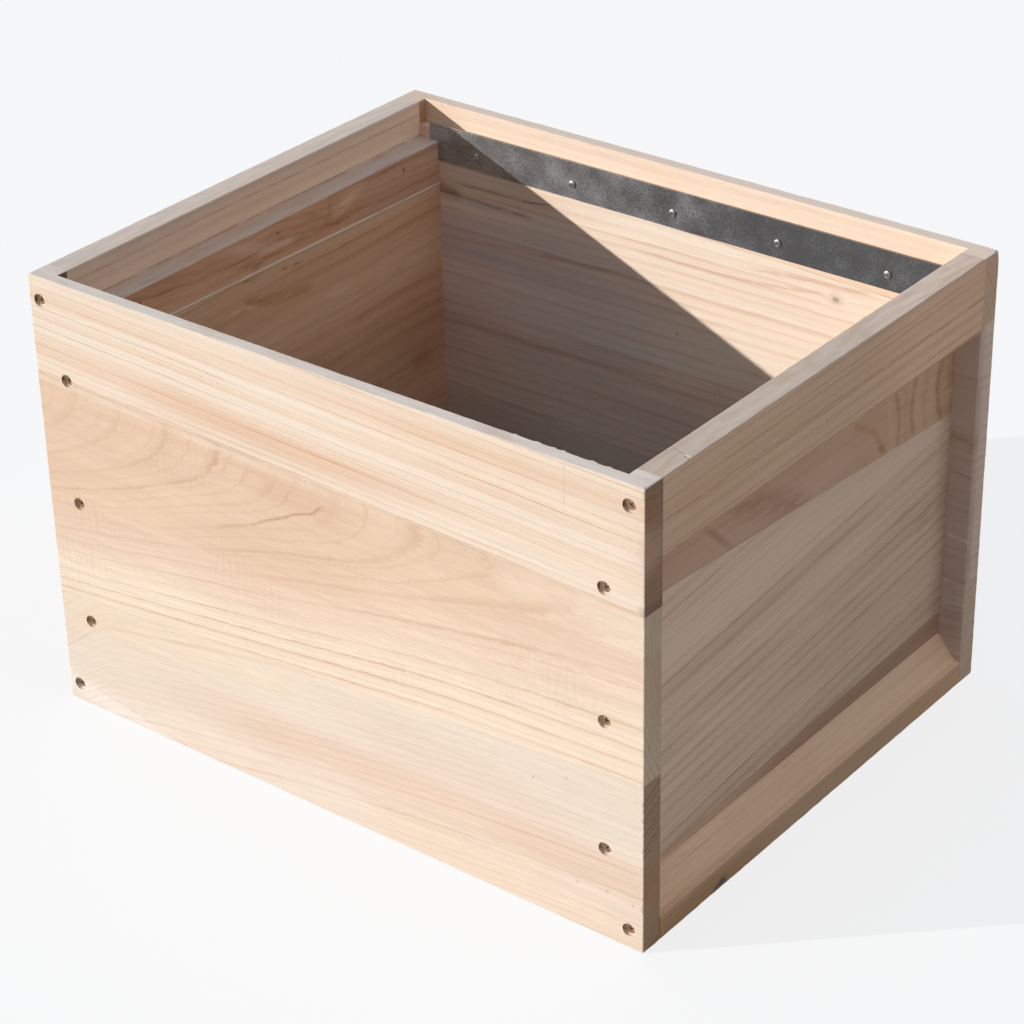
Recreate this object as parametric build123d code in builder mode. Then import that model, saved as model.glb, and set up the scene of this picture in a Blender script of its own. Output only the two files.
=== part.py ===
"""Open wooden hive box: flat long walls, recessed ends with rails, and steel frame runners.

Millimetres. X runs along the long walls, Y across them and Z up. The origin is the middle of the
box at floor level, so the front wall faces -Y and the left end faces -X.
"""
import os

from build123d import *

# Outside of the box
box_length = 560
box_width = 450
box_height = 370

# Stock: long walls, end panels and the rails that stand out from the panels
wall_thick = 20
panel_thick = 20
rail_depth = 21

# Ends: the panel stops short of the rim, and the bottom rail has a lip below its bevel
panel_drop = 30
top_rail_height = 60
bottom_rail_height = 40
lip_height = 20
lip_width = 5

# Rabbet for the frame lugs along the inner top edge of each long wall
rabbet_depth = 8.5
rabbet_drop = 20

# Edge-glued boards: each width is taken at both ends, and the middle board fills the rest
front_upper_at_left = 80
front_upper_at_right = 96
front_lower_at_left = 98
front_lower_at_right = 141
back_upper_at_left = 39
back_upper_at_right = 56
back_lower_at_left = 120
back_lower_at_right = 92
left_upper_at_front = 33
left_upper_at_back = 39.5
left_lower_at_front = 128
left_lower_at_back = 104
right_upper_at_front = 75
right_upper_at_back = 104
right_lower_at_front = 45
right_lower_at_back = 60

# Every fastener and its hole is a straight-sided rod with this many sides
rod_sides = 12
point_diameter = 0.6

# Countersunk screws through the long walls into the ends of the rails and panels
screw_head_diameter = 8
screw_head_height = 2.4
screw_shank_diameter = 4
screw_length = 44
screw_tip = 6
screw_sink = 2.5
screw_bore_diameter = 10
screw_clearance = 0.1
left_top_screw_drop = 19
right_top_screw_drop = 16
bottom_screw_rise = 15
panel_screw_count = 3
panel_screw_pitch = 105
right_panel_screw_drop = 4.5
right_screw_inset = 2

# Steel runners that carry the frame lugs, and their pan-head screws
runner_thick = 1
runner_height = 32
runner_drop = 15
runner_end_gap = 11.5
runner_clearance = 0.1
runner_screw_count = 5
runner_screw_rise = 13
runner_screw_head_diameter = 6
runner_screw_head_height = 1.8
runner_screw_rim_height = 0.8
runner_screw_crown_diameter = 3.6
runner_screw_shank_diameter = 3
runner_screw_length = 15
runner_screw_tip = 4

# Brads through each end panel into its top rail
brad_head_diameter = 2.6
brad_head_height = 0.8
brad_shank_diameter = 1.6
brad_length = 36
brad_tip = 3
brad_clearance = 0.05
brad_count = 3
brad_pitch = 156
brad_drop = 10.5
brad_shift = 3

# Planes that the pieces share
inner_y = box_width / 2 - wall_thick
recess_x = box_length / 2 - rail_depth
inner_x = recess_x - panel_thick
panel_top = box_height - panel_drop
runner_top = box_height - runner_drop
runner_bottom = runner_top - runner_height
runner_length = 2 * (recess_x - runner_end_gap)
runner_screw_pitch = runner_length / runner_screw_count

FRONT, BACK, LEFT, RIGHT = -1, 1, -1, 1


def save(piece: BuildPart, name: str) -> None:
    """Label a finished piece and write its STEP file."""
    piece.part.label = name
    export_step(piece.part, f"parts/{name}.step")


def rod(*sections: tuple[float, float]) -> Part:
    """Loft a straight-sided rod along Z through sections of (height, diameter)."""
    with BuildPart() as body:
        for height, diameter in sections:
            with BuildSketch(Plane.XY.offset(height)):
                RegularPolygon(diameter / 2, rod_sides)
        loft(ruled=True)
    return body.part


def pointed_shank(top: float, diameter: float, foot: float, tip: float) -> Part:
    """Straight shank from top down to its tip, which tapers to a point at foot."""
    return rod((top, diameter), (foot + tip, diameter), (foot, point_diameter))


def countersunk_rod(gap: float) -> Part:
    """Wall screw, or with a gap the hole that it fits, driven down -Z from the wall's outer face."""
    foot = -screw_sink - screw_length
    shank = screw_shank_diameter + 2 * gap
    return rod((-screw_sink, screw_head_diameter + 2 * gap), (-screw_sink - screw_head_height, shank),
               (foot + screw_tip, shank), (foot - gap, point_diameter + 2 * gap))


def brad_rod(gap: float) -> Part:
    """Brad, or with a gap the hole that it fits, driven down -Z from the panel's inner face."""
    with BuildPart() as body:
        add(rod((0, brad_head_diameter + 2 * gap), (-brad_head_height - gap, brad_head_diameter + 2 * gap)))
        add(pointed_shank(-brad_head_height, brad_shank_diameter + 2 * gap, -brad_length - gap, brad_tip))
    return body.part


def long_wall_seats(wall: int, end: int) -> list[Plane]:
    """Planes on a long wall's outer face where the screws of one corner are driven."""
    rail_x = end * (recess_x + rail_depth / 2)
    panel_x = end * (recess_x - panel_thick / 2)
    top_drop = left_top_screw_drop
    lowest = box_height / 2 - panel_screw_pitch * (panel_screw_count - 1) / 2
    if end == RIGHT:
        rail_x -= right_screw_inset
        panel_x -= right_screw_inset
        top_drop = right_top_screw_drop
        lowest -= right_panel_screw_drop
    spots = [(rail_x, box_height - top_drop), (rail_x, bottom_screw_rise)]
    spots += [(panel_x, lowest + row * panel_screw_pitch) for row in range(panel_screw_count)]
    return [Plane((x, wall * box_width / 2, z), x_dir=(1, 0, 0), z_dir=(0, wall, 0)) for x, z in spots]


def runner_seats(wall: int) -> list[Plane]:
    """Planes on a runner's inner face where its screws are driven."""
    first = -runner_screw_pitch * (runner_screw_count - 1) / 2
    height = runner_bottom + runner_screw_rise
    face = wall * (inner_y - runner_thick)
    return [Plane((first + step * runner_screw_pitch, face, height), x_dir=(1, 0, 0), z_dir=(0, -wall, 0))
            for step in range(runner_screw_count)]


def brad_seats(end: int) -> list[Plane]:
    """Planes on an end panel's inner face where its brads are driven."""
    first = brad_shift - brad_pitch * (brad_count - 1) / 2
    return [Plane((end * inner_x, first + step * brad_pitch, panel_top - brad_drop), x_dir=(0, 1, 0),
                  z_dir=(-end, 0, 0)) for step in range(brad_count)]


os.makedirs("parts", exist_ok=True)

# Fasteners, and the holes that take them
wall_screw = countersunk_rod(0)
brad = brad_rod(0)
brad_hole = brad_rod(brad_clearance)
runner_screw_hole = pointed_shank(0, runner_screw_shank_diameter + 2 * screw_clearance,
                                  -runner_screw_length - screw_clearance, runner_screw_tip)
with BuildPart() as wall_screw_hole:
    add(countersunk_rod(screw_clearance))
    with BuildSketch():
        RegularPolygon(screw_bore_diameter / 2, rod_sides)
    extrude(amount=-screw_sink)
with BuildPart() as runner_screw:
    add(pointed_shank(0, runner_screw_shank_diameter, -runner_screw_length, runner_screw_tip))
    add(rod((0, runner_screw_head_diameter), (runner_screw_rim_height, runner_screw_head_diameter),
            (runner_screw_head_height, runner_screw_crown_diameter)))

# Long walls: three tapered boards each, with the lug rabbet in the upper one
wall_joints = {
    FRONT: ("front", (front_upper_at_left, front_upper_at_right), (front_lower_at_left, front_lower_at_right)),
    BACK: ("back", (back_upper_at_left, back_upper_at_right), (back_lower_at_left, back_lower_at_right)),
}
for wall, (side, upper, lower) in wall_joints.items():
    joints = {
        "lower": ((0, 0), lower),
        "middle": (lower, [box_height - width for width in upper]),
        "upper": ([box_height - width for width in upper], (box_height, box_height)),
    }
    for level, (foot, top) in joints.items():
        with BuildPart() as board:
            with BuildSketch(Plane.XZ.offset(-wall * inner_y)):
                with BuildLine():
                    Polyline((-box_length / 2, foot[0]), (box_length / 2, foot[1]),
                             (box_length / 2, top[1]), (-box_length / 2, top[0]), close=True)
                make_face()
            extrude(amount=-wall * wall_thick)
            with BuildSketch(Plane.XY.offset(box_height)):
                with Locations((0, wall * (inner_y + rabbet_depth / 2))):
                    Rectangle(2 * recess_x, rabbet_depth)
            extrude(amount=-rabbet_drop, mode=Mode.SUBTRACT)
            with Locations(*long_wall_seats(wall, LEFT), *long_wall_seats(wall, RIGHT)):
                add(wall_screw_hole.part, mode=Mode.SUBTRACT)
            with Locations(*runner_seats(wall)):
                add(runner_screw_hole, mode=Mode.SUBTRACT)
        save(board, f"{side}_wall_{level}_board")

# End panels: three boards each, notched at the top corners where the runners' ends tuck in
panel_joints = {
    LEFT: ("left", (left_upper_at_front, left_upper_at_back), (left_lower_at_front, left_lower_at_back)),
    RIGHT: ("right", (right_upper_at_front, right_upper_at_back), (right_lower_at_front, right_lower_at_back)),
}
for end, (side, upper, lower) in panel_joints.items():
    joints = {
        "lower": ((0, 0), lower),
        "middle": (lower, [panel_top - width for width in upper]),
        "upper": ([panel_top - width for width in upper], (panel_top, panel_top)),
    }
    for level, (foot, top) in joints.items():
        with BuildPart() as board:
            with BuildSketch(Plane.YZ.offset(end * recess_x)):
                with BuildLine():
                    Polyline((-inner_y, foot[0]), (inner_y, foot[1]), (inner_y, top[1]), (-inner_y, top[0]),
                             close=True)
                make_face()
            extrude(amount=-end * panel_thick)
            with BuildSketch(Plane.XY.offset(runner_top)):
                with Locations((0, -inner_y), (0, inner_y)):
                    Rectangle(runner_length + 2 * runner_clearance, 2 * (runner_thick + runner_clearance))
            extrude(amount=-runner_height - runner_clearance, mode=Mode.SUBTRACT)
            with Locations(*long_wall_seats(FRONT, end), *long_wall_seats(BACK, end)):
                add(wall_screw_hole.part, mode=Mode.SUBTRACT)
            with Locations(*brad_seats(end)):
                add(brad_hole, mode=Mode.SUBTRACT)
        save(board, f"{side}_panel_{level}_board")

    # Top rail: flush with the rim and the wall ends, lapping over the panel below its top edge
    with BuildPart() as top_rail:
        with BuildSketch(Plane.YZ.offset(end * recess_x)):
            with Locations((0, box_height)):
                Rectangle(2 * inner_y, top_rail_height, align=(Align.CENTER, Align.MAX))
        extrude(amount=end * rail_depth)
        with Locations(*long_wall_seats(FRONT, end), *long_wall_seats(BACK, end)):
            add(wall_screw_hole.part, mode=Mode.SUBTRACT)
        with Locations(*brad_seats(end)):
            add(brad_hole, mode=Mode.SUBTRACT)
    save(top_rail, f"{side}_top_rail")

    # Bottom rail: an upright lip, then a bevel that rises to the panel
    with BuildPart() as bottom_rail:
        with BuildSketch(Plane.XZ):
            with BuildLine():
                Polyline((end * recess_x, 0), (end * box_length / 2, 0), (end * box_length / 2, lip_height),
                         (end * (box_length / 2 - lip_width), lip_height), (end * recess_x, bottom_rail_height),
                         close=True)
            make_face()
        extrude(amount=inner_y, both=True)
        with Locations(*long_wall_seats(FRONT, end), *long_wall_seats(BACK, end)):
            add(wall_screw_hole.part, mode=Mode.SUBTRACT)
    save(bottom_rail, f"{side}_bottom_rail")

    with BuildPart() as brads:
        with Locations(*brad_seats(end)):
            add(brad)
    save(brads, f"{side}_rail_brads")

# Frame runners, their screws and the corner screws of each long wall
for wall, side in ((FRONT, "front"), (BACK, "back")):
    with BuildPart() as runner:
        with BuildSketch(Plane.XZ.offset(-wall * inner_y)):
            with Locations((0, runner_top)):
                Rectangle(runner_length, runner_height, align=(Align.CENTER, Align.MAX))
        extrude(amount=wall * runner_thick)
        with Locations(*runner_seats(wall)):
            add(runner_screw_hole, mode=Mode.SUBTRACT)
    save(runner, f"{side}_frame_runner")

    with BuildPart() as runner_screws:
        with Locations(*runner_seats(wall)):
            add(runner_screw.part)
    save(runner_screws, f"{side}_runner_screws")

    for end, corner in ((LEFT, "left"), (RIGHT, "right")):
        with BuildPart() as corner_screws:
            with Locations(*long_wall_seats(wall, end)):
                add(wall_screw)
        save(corner_screws, f"{side}_{corner}_screws")
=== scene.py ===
"""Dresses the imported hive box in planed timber, zinc sheet and steel, and sets the studio around it.

Metres. X runs along the long walls, Y across them and Z up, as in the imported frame. Timber is a solid
pattern: growth rings lie around each board's own pith, so faces, edges and end grain agree.
"""
import logging
import math
import random
from dataclasses import dataclass, field
from enum import Enum
from types import SimpleNamespace

import bmesh
import bpy
from bmesh.types import BMEdge, BMesh, BMVert
from bpy.types import ID, Material, Node, NodeSocket, NodeTree, Object
from mathutils import Matrix, Vector, noise
from mathutils.geometry import intersect_point_line


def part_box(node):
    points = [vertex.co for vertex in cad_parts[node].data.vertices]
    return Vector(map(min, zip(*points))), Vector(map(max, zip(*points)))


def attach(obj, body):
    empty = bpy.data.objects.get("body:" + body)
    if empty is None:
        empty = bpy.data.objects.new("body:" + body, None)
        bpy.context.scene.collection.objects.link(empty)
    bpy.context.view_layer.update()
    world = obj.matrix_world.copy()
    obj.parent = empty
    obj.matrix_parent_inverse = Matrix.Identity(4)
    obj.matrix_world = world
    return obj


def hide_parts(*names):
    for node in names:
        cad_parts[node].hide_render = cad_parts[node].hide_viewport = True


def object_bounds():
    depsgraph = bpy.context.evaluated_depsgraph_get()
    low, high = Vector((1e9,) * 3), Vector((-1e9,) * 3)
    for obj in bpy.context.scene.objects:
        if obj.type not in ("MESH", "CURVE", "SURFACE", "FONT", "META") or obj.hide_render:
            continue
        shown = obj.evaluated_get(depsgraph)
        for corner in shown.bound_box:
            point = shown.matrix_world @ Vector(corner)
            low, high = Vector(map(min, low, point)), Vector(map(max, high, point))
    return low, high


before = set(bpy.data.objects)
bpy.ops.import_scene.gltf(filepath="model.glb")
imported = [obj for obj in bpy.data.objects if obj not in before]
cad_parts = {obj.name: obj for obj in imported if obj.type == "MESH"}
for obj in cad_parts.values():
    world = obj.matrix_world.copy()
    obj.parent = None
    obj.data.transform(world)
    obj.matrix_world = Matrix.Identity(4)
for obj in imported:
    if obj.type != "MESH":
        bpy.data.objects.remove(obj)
CAD_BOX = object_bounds()

LOG = logging.getLogger("hive_box")
BODY = "root"
MERGE_DISTANCE = 1e-6
WEAR_LAYER = "edge_wear"
WIDE_SOCKETS = ("VECTOR", "RGBA")
MIX_SHARE, MIX_BELOW, MIX_ABOVE, MIX_RESULT = 0, 6, 7, 2

Colour = tuple[float, float, float]
Point = tuple[float, float, float]
Fade = tuple[float, float]
FADED, BLUNT, FADE_IN, FADE_OUT = (1.0, 1.0), (0.0, 0.0), (1.0, 0.0), (0.0, 1.0)


class Grain(Enum):
    """Which way a board's fibres run, as the turn that brings them to the pattern's first axis."""

    ALONG_X = 0.0
    ALONG_Y = -math.pi / 2

    def axis(self) -> int:
        """Index of the box's axis that the fibres follow."""
        return 0 if self is Grain.ALONG_X else 1


class Side(Enum):
    """The four sides of the box, by the words that their pieces' names begin with."""

    FRONT = "front"
    BACK = "back"
    LEFT = "left"
    RIGHT = "right"

    def __str__(self) -> str:
        """Gives the word itself."""
        return self.value


class Blend(Enum):
    """How one colour is laid over another."""

    COVER = "MIX"
    STAIN = "MULTIPLY"


class Wire:
    """A node's output. Plain arithmetic on it adds the nodes that work out the result."""

    def __init__(self, socket: NodeSocket) -> None:
        """Holds one output and the graph that it lies in."""
        self.socket = socket
        self.graph = Graph(socket.id_data)

    def to(self, operation: str, *others: "Value", clamp: bool = False) -> "Wire":
        """Adds one step of arithmetic; see Graph.reckon."""
        return self.graph.reckon(operation, self, *others, clamp=clamp)

    def __add__(self, other: "Value") -> "Wire":
        """Sum."""
        return self.to("ADD", other)

    def __sub__(self, other: "Value") -> "Wire":
        """Difference."""
        return self.to("SUBTRACT", other)

    def __rsub__(self, other: "Value") -> "Wire":
        """Difference from a number."""
        return self.graph.reckon("SUBTRACT", other, self)

    def __mul__(self, other: "Value") -> "Wire":
        """Product; a number scales all of a vector."""
        return self.to("SCALE" if is_wide(self) and not is_wide(other) else "MULTIPLY", other)

    def __truediv__(self, other: "Value") -> "Wire":
        """Quotient."""
        return self.to("DIVIDE", other)

    __radd__ = __add__

    def rise(self, low: "Value", high: "Value", start: float = 0.0, end: float = 1.0) -> "Wire":
        """Eases from start, where this is low, to end, where it is high, and holds both beyond."""
        return self.graph.out("MapRange", self, low, high, start, end, interpolation_type="SMOOTHSTEP")

    def fall(self, low: "Value", high: "Value") -> "Wire":
        """Eases from one to nought over a span."""
        return self.rise(low, high, 1.0, 0.0)

    def coat(self, tint: "Value", share: "Value", blend: Blend = Blend.COVER) -> "Wire":
        """Lays a colour over this one.

        Args:
            tint: The colour on top.
            share: How much of it shows.
            blend: How it is laid on.

        Returns:
            The mixed colour.
        """
        made = self.graph.node("Mix", data_type="RGBA", blend_type=blend.value)
        for index, value in ((MIX_SHARE, share), (MIX_BELOW, self), (MIX_ABOVE, tint)):
            self.graph.feed(made.inputs[index], value)
        return Wire(made.outputs[MIX_RESULT])


Value = float | Colour | Wire


def is_wide(value: Value) -> bool:
    """Tells a vector or a colour from a plain number."""
    return value.socket.type in WIDE_SOCKETS if isinstance(value, Wire) else isinstance(value, tuple)


class Graph:
    """Places shader nodes in one tree and links them."""

    def __init__(self, tree: NodeTree) -> None:
        """Works on the tree of a material, a world or a group."""
        self.tree = tree

    def feed(self, socket: NodeSocket, value: Value) -> None:
        """Links a socket or sets its constant.

        Args:
            socket: The input to feed.
            value: A node's output, a number, or three numbers.
        """
        if isinstance(value, Wire):
            self.tree.links.new(value.socket, socket)
        elif socket.type == "RGBA":
            socket.default_value = (*value, 1.0)
        elif socket.type == "VECTOR" and not is_wide(value):
            socket.default_value = (value, value, value)
        else:
            socket.default_value = value

    def node(self, kind: str, *values: Value | None, **settings: object) -> Node:
        """Adds a node.

        Args:
            kind: The node's type, without Blender's prefix.
            values: What feeds the inputs, in order; None leaves one alone.
            settings: The node's own options.

        Returns:
            The new node.
        """
        made = self.tree.nodes.new(f"ShaderNode{kind}")
        for name, choice in settings.items():
            setattr(made, name, choice)
        for socket, value in zip(made.inputs, values):
            if value is not None:
                self.feed(socket, value)
        return made

    def out(self, kind: str, *values: Value | None, which: int | str = 0, **settings: object) -> Wire:
        """Adds a node and gives one of its outputs; see node."""
        return Wire(self.node(kind, *values, **settings).outputs[which])

    def reckon(self, operation: str, *values: Value, clamp: bool = False) -> Wire:
        """Adds one step of arithmetic, on vectors if an operand is one.

        Args:
            operation: The operation of the Math or Vector Math node.
            values: Its operands.
            clamp: Whether a number is kept from 0 to 1.

        Returns:
            The result.
        """
        if any(is_wide(value) for value in values):
            made = self.node("VectorMath", operation=operation)
        else:
            made = self.node("Math", operation=operation, use_clamp=clamp)
        for socket, value in zip([s for s in made.inputs if s.enabled], values):
            self.feed(socket, value)
        return Wire(next(s for s in made.outputs if s.enabled))

    def split(self, vector: Wire) -> list[Wire]:
        """Takes a vector apart along the three axes."""
        return [Wire(part) for part in self.node("SeparateXYZ", vector).outputs]

    def noise(self, place: Wire, stretch: float | Point, detail: float = 2.0, roughness: float = 0.5,
              which: int = 0) -> Wire:
        """Adds smooth noise around a half, with stretch repeats per metre: a number, or three as output 1."""
        return self.out("TexNoise", place * stretch, None, 1.0, detail, roughness, which=which)

    def sway(self, place: Wire, stretch: float | Point, detail: float = 2.0, roughness: float = 0.5) -> Wire:
        """Adds a smooth random vector around nought; see noise."""
        return self.noise(place, stretch, detail, roughness, which=1) - 0.5


def sockets(numbers: str = "", vectors: str = "", colours: str = "") -> dict[str, str]:
    """Gives Blender's type of socket for each name in three lists, with spaces between the names."""
    kinds = {"Float": numbers, "Vector": vectors, "Color": colours}
    return {name: f"NodeSocket{kind}" for kind, names in kinds.items() for name in names.split()}


class SharedGroup:
    """A shader node group that several finishes place with their own values.

    A value whose name ends in noise holds the noise's repeats, its octaves and their weight.
    """

    name = "group"
    takes: dict[str, str] = {}
    gives: dict[str, str] = {}

    def __init__(self) -> None:
        """Makes the group's tree with its sockets and fills it."""
        self.tree = bpy.data.node_groups.new(self.name, "ShaderNodeTree")
        for direction, listed in (("INPUT", self.takes), ("OUTPUT", self.gives)):
            for title, kind in listed.items():
                self.tree.interface.new_socket(title, in_out=direction, socket_type=kind)
        graph = Graph(self.tree)
        inputs = self.tree.nodes.new("NodeGroupInput").outputs
        outputs = self.tree.nodes.new("NodeGroupOutput").inputs
        given = SimpleNamespace(**{title: Wire(inputs[title]) for title in self.takes})
        for title, result in self.build(graph, given).items():
            graph.feed(outputs[title], result)

    def build(self, graph: Graph, given: SimpleNamespace) -> dict[str, Wire]:
        """Fills the group and gives what goes to each output; every kind of group has its own."""
        raise NotImplementedError

    def place(self, graph: Graph, *rows: object, **values: Value) -> dict[str, Wire]:
        """Puts the group into a material.

        Args:
            graph: The material's graph.
            rows: Dataclass rows whose fields feed the inputs of the same names.
            values: What feeds the other inputs.

        Returns:
            The outputs by name.
        """
        made = graph.node("Group", node_tree=self.tree)
        for row in rows:
            values |= vars(row)
        for title in self.takes:
            if title in values:
                graph.feed(made.inputs[title], values[title])
        return {title: Wire(made.outputs[title]) for title in self.gives}


class GrowthRings(SharedGroup):
    """Rings around a pith that may drift through the board: a line where each year ends, and its tone."""

    name = "growth_rings"
    takes = sockets("pith_depth pith_height depth_drift height_drift drift_limit ring_width ring_shift "
                    "unevenness waver waver_pitch fine_lines line_start bend seed", vectors="place")
    gives = sockets("line tone age")

    seed_slant, seed_stride, fine_seed = 0.37, 17.0, 5.0
    cross_pitch, drift_ease = 16.0, 0.477
    slow_noise, slow_reach = (1.0, 1.0), 2.0
    tremor_noise, tremor_reach = ((60.0, 240.0, 240.0), 3.0), 0.0013
    year_noise = (0.55, 1.0)
    fade_noise, fade = ((7.0, 60.0, 60.0),), (0.32, 0.64, 0.45, 1.1)
    line_peak, line_power, faint_line, fine_rate = 0.90, 1.6, 0.35, 2.7
    early_share, early_end = 0.22, 0.40

    def build(self, graph: Graph, given: SimpleNamespace) -> dict[str, Wire]:
        """Fills the group.

        Args:
            graph: The group's graph.
            given: Its inputs.

        Returns:
            The rings' dark lines, the tone of each ring, and the distance from the pith.
        """
        moved = given.place + graph.out("CombineXYZ", given.seed, given.seed * self.seed_slant, 0.0)
        pitch = graph.out("CombineXYZ", given.waver_pitch, self.cross_pitch, self.cross_pitch)
        sway = graph.sway(moved * pitch, *self.slow_noise) * (given.waver * self.slow_reach)
        sway = graph.split(sway + graph.sway(moved, *self.tremor_noise) * self.tremor_reach)
        along, depth, height = graph.split(given.place)
        along = along.to("SMOOTH_MIN", given.drift_limit, self.drift_ease)
        depth = depth - (given.depth_drift * along + given.pith_depth) + sway[1]
        height = height - (given.height_drift * along + given.pith_height) + sway[2]
        radius = (depth * depth + height * height).to("SQRT") + given.bend
        years = (radius - given.ring_shift) / given.ring_width
        uneven = graph.out("TexNoise", None, years + given.seed, *self.year_noise, noise_dimensions="1D")
        years = (uneven - 0.5) * given.unevenness + years
        line, tone = self.rings(graph, years, given.line_start, given.seed)
        thin, _ = self.rings(graph, years * self.fine_rate, given.line_start, given.seed + self.fine_seed)
        line = line.to("MAXIMUM", thin * given.fine_lines)
        line = line * graph.noise(moved, *self.fade_noise).rise(*self.fade)
        return {"line": line, "tone": tone, "age": radius}

    def rings(self, graph: Graph, years: Wire, start: Wire, seed: Wire) -> tuple[Wire, Wire]:
        """Draws one set of rings.

        Args:
            graph: The group's graph.
            years: Distance from the pith, counted in rings.
            start: Where in a ring its line begins; an early start makes a soft, broad line.
            seed: Picks the random strength of each ring.

        Returns:
            The dark line of each ring, and a tone that eases from ring to ring.
        """
        whole, part = years.to("FLOOR"), years.to("FRACT")
        this, following = (graph.out("TexWhiteNoise", None, whole + step + seed * self.seed_stride,
                                     noise_dimensions="1D") for step in (0.0, 1.0))
        strength = this.rise(0.0, 1.0, self.faint_line, 1.0)
        line = part.rise(start, self.line_peak) * part.fall(self.line_peak, 1.0)
        early = part.rise(0.0, self.early_end, self.early_share, 0.0)
        line = line.to("POWER", self.line_power).to("MAXIMUM", early) * strength
        return line, (following - this) * part.rise(0.0, 1.0) + this


class Fibres(SharedGroup):
    """Fine marks of sawn and planed timber: fibres, pores, soft blotches and the planer's ripple."""

    name = "fibres"
    takes = sockets("seed", vectors="place")
    gives = sockets("streak pore blotch ripple")

    seed_slant = 1.7
    fibre_noise, fibre_span, fibre_share = ((38.0, 1150.0, 1150.0), 3.0, 0.6), (0.32, 0.68), 0.55
    silk_noise, silk_span, silk_share = ((5.0, 190.0, 190.0), 2.0, 0.55), (0.30, 0.70), 0.45
    pore_noise, pore_span = ((150.0, 2600.0, 2600.0), 1.0), (0.66, 0.78)
    blotch_noise, blotch_span = ((5.0, 17.0, 17.0), 2.0), (0.30, 0.70)
    patch_noise, patch_span = ((9.0, 14.0, 20.0), 1.0), (0.52, 0.70)
    ripple_pitch, ripple_power = 0.0066, 3.0
    drift_noise, drift_reach = ((50.0, 30.0, 18.0), 2.0), 16.0

    def build(self, graph: Graph, given: SimpleNamespace) -> dict[str, Wire]:
        """Fills the group.

        Args:
            graph: The group's graph.
            given: Its inputs.

        Returns:
            Streaks, pores, blotches and the planer's ripple.
        """
        place = given.place + graph.out("CombineXYZ", given.seed * self.seed_slant, given.seed, 0.0)
        fibre = graph.noise(place, *self.fibre_noise).rise(*self.fibre_span)
        silk = graph.noise(place, *self.silk_noise).rise(*self.silk_span)
        drift = graph.noise(place, *self.drift_noise) * self.drift_reach
        turn = graph.split(place)[0] * (2 * math.pi / self.ripple_pitch) + drift
        tooth = (turn.to("SINE") * 0.5 + 0.5).to("POWER", self.ripple_power)
        return {"streak": silk * self.silk_share + fibre * self.fibre_share,
                "pore": graph.noise(place, *self.pore_noise).rise(*self.pore_span),
                "blotch": graph.noise(place, *self.blotch_noise).rise(*self.blotch_span),
                "ripple": tooth * graph.noise(place, *self.patch_noise).rise(*self.patch_span)}


class TimberColour(SharedGroup):
    """Puts rings, fibres and sapwood together as the colour, roughness and height of planed timber."""

    name = "timber_colour"
    takes = sockets("line tone age streak pore blotch ripple end_grain edge sap_start sap_end line_depth "
                    "tone_depth blotch_depth ripple_depth end_lines",
                    colours="light line_tint deep sap end_tint")
    gives = sockets("roughness height", colours="colour")

    streak_depth, pore_depth, sap_depth, sap_waver = 0.13, 0.22, 0.9, 0.006
    line_break = (0.25, 0.75, 0.65, 1.25)
    edge_tint = (0.92, 0.89, 0.86)
    smooth, rough = 0.50, 0.22
    streak_height, pore_height, line_height, ripple_height = 0.55, 0.5, 0.25, 2.5

    def build(self, graph: Graph, given: SimpleNamespace) -> dict[str, Wire]:
        """Fills the group.

        Args:
            graph: The group's graph.
            given: Its inputs.

        Returns:
            Colour, roughness and height.
        """
        streak, ripple = given.streak - 0.5, given.ripple * given.ripple_depth
        line = given.line * given.streak.rise(*self.line_break) * (given.end_grain * given.end_lines + 1.0)
        line = line.to("MULTIPLY", given.line_depth, clamp=True)
        deep = (given.tone * given.tone_depth).to("ADD", given.blotch * given.blotch_depth, clamp=True)
        sap = (streak * self.sap_waver + given.age).rise(given.sap_start, given.sap_end, 0.0, self.sap_depth)
        colour = given.light.coat(given.deep, deep).coat(given.sap, sap).coat(given.line_tint, line)
        colour = colour * (streak * self.streak_depth + 1.0 - ripple)
        colour = colour.coat(given.line_tint, given.pore * self.pore_depth)
        colour = colour.coat(given.end_tint, given.end_grain, Blend.STAIN)
        height = given.streak * self.streak_height - (given.pore * self.pore_height + line * self.line_height)
        return {"colour": colour.coat(self.edge_tint, given.edge, Blend.STAIN),
                "roughness": given.streak * self.rough + self.smooth,
                "height": height - ripple * self.ripple_height}


class KnotMark(SharedGroup):
    """A knot: a dark core, a soft halo, and how far it pushes the rings aside."""

    name = "knot_mark"
    takes = sockets("push", vectors="place centre size")
    gives = sockets("core halo bend")

    ragged_pitch, ragged = 140.0, 0.004
    core, halo, bend = (0.5, 1.1), (0.8, 3.0), (0.0, 5.0)

    def build(self, graph: Graph, given: SimpleNamespace) -> dict[str, Wire]:
        """Fills the group.

        Args:
            graph: The group's graph.
            given: Its inputs.

        Returns:
            Core, halo and bend.
        """
        place = given.place + graph.sway(given.place, self.ragged_pitch) * self.ragged
        away = ((place - given.centre) / given.size).to("LENGTH")
        return {"core": away.fall(*self.core), "halo": away.fall(*self.halo),
                "bend": away.fall(*self.bend) * given.push}


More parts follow.
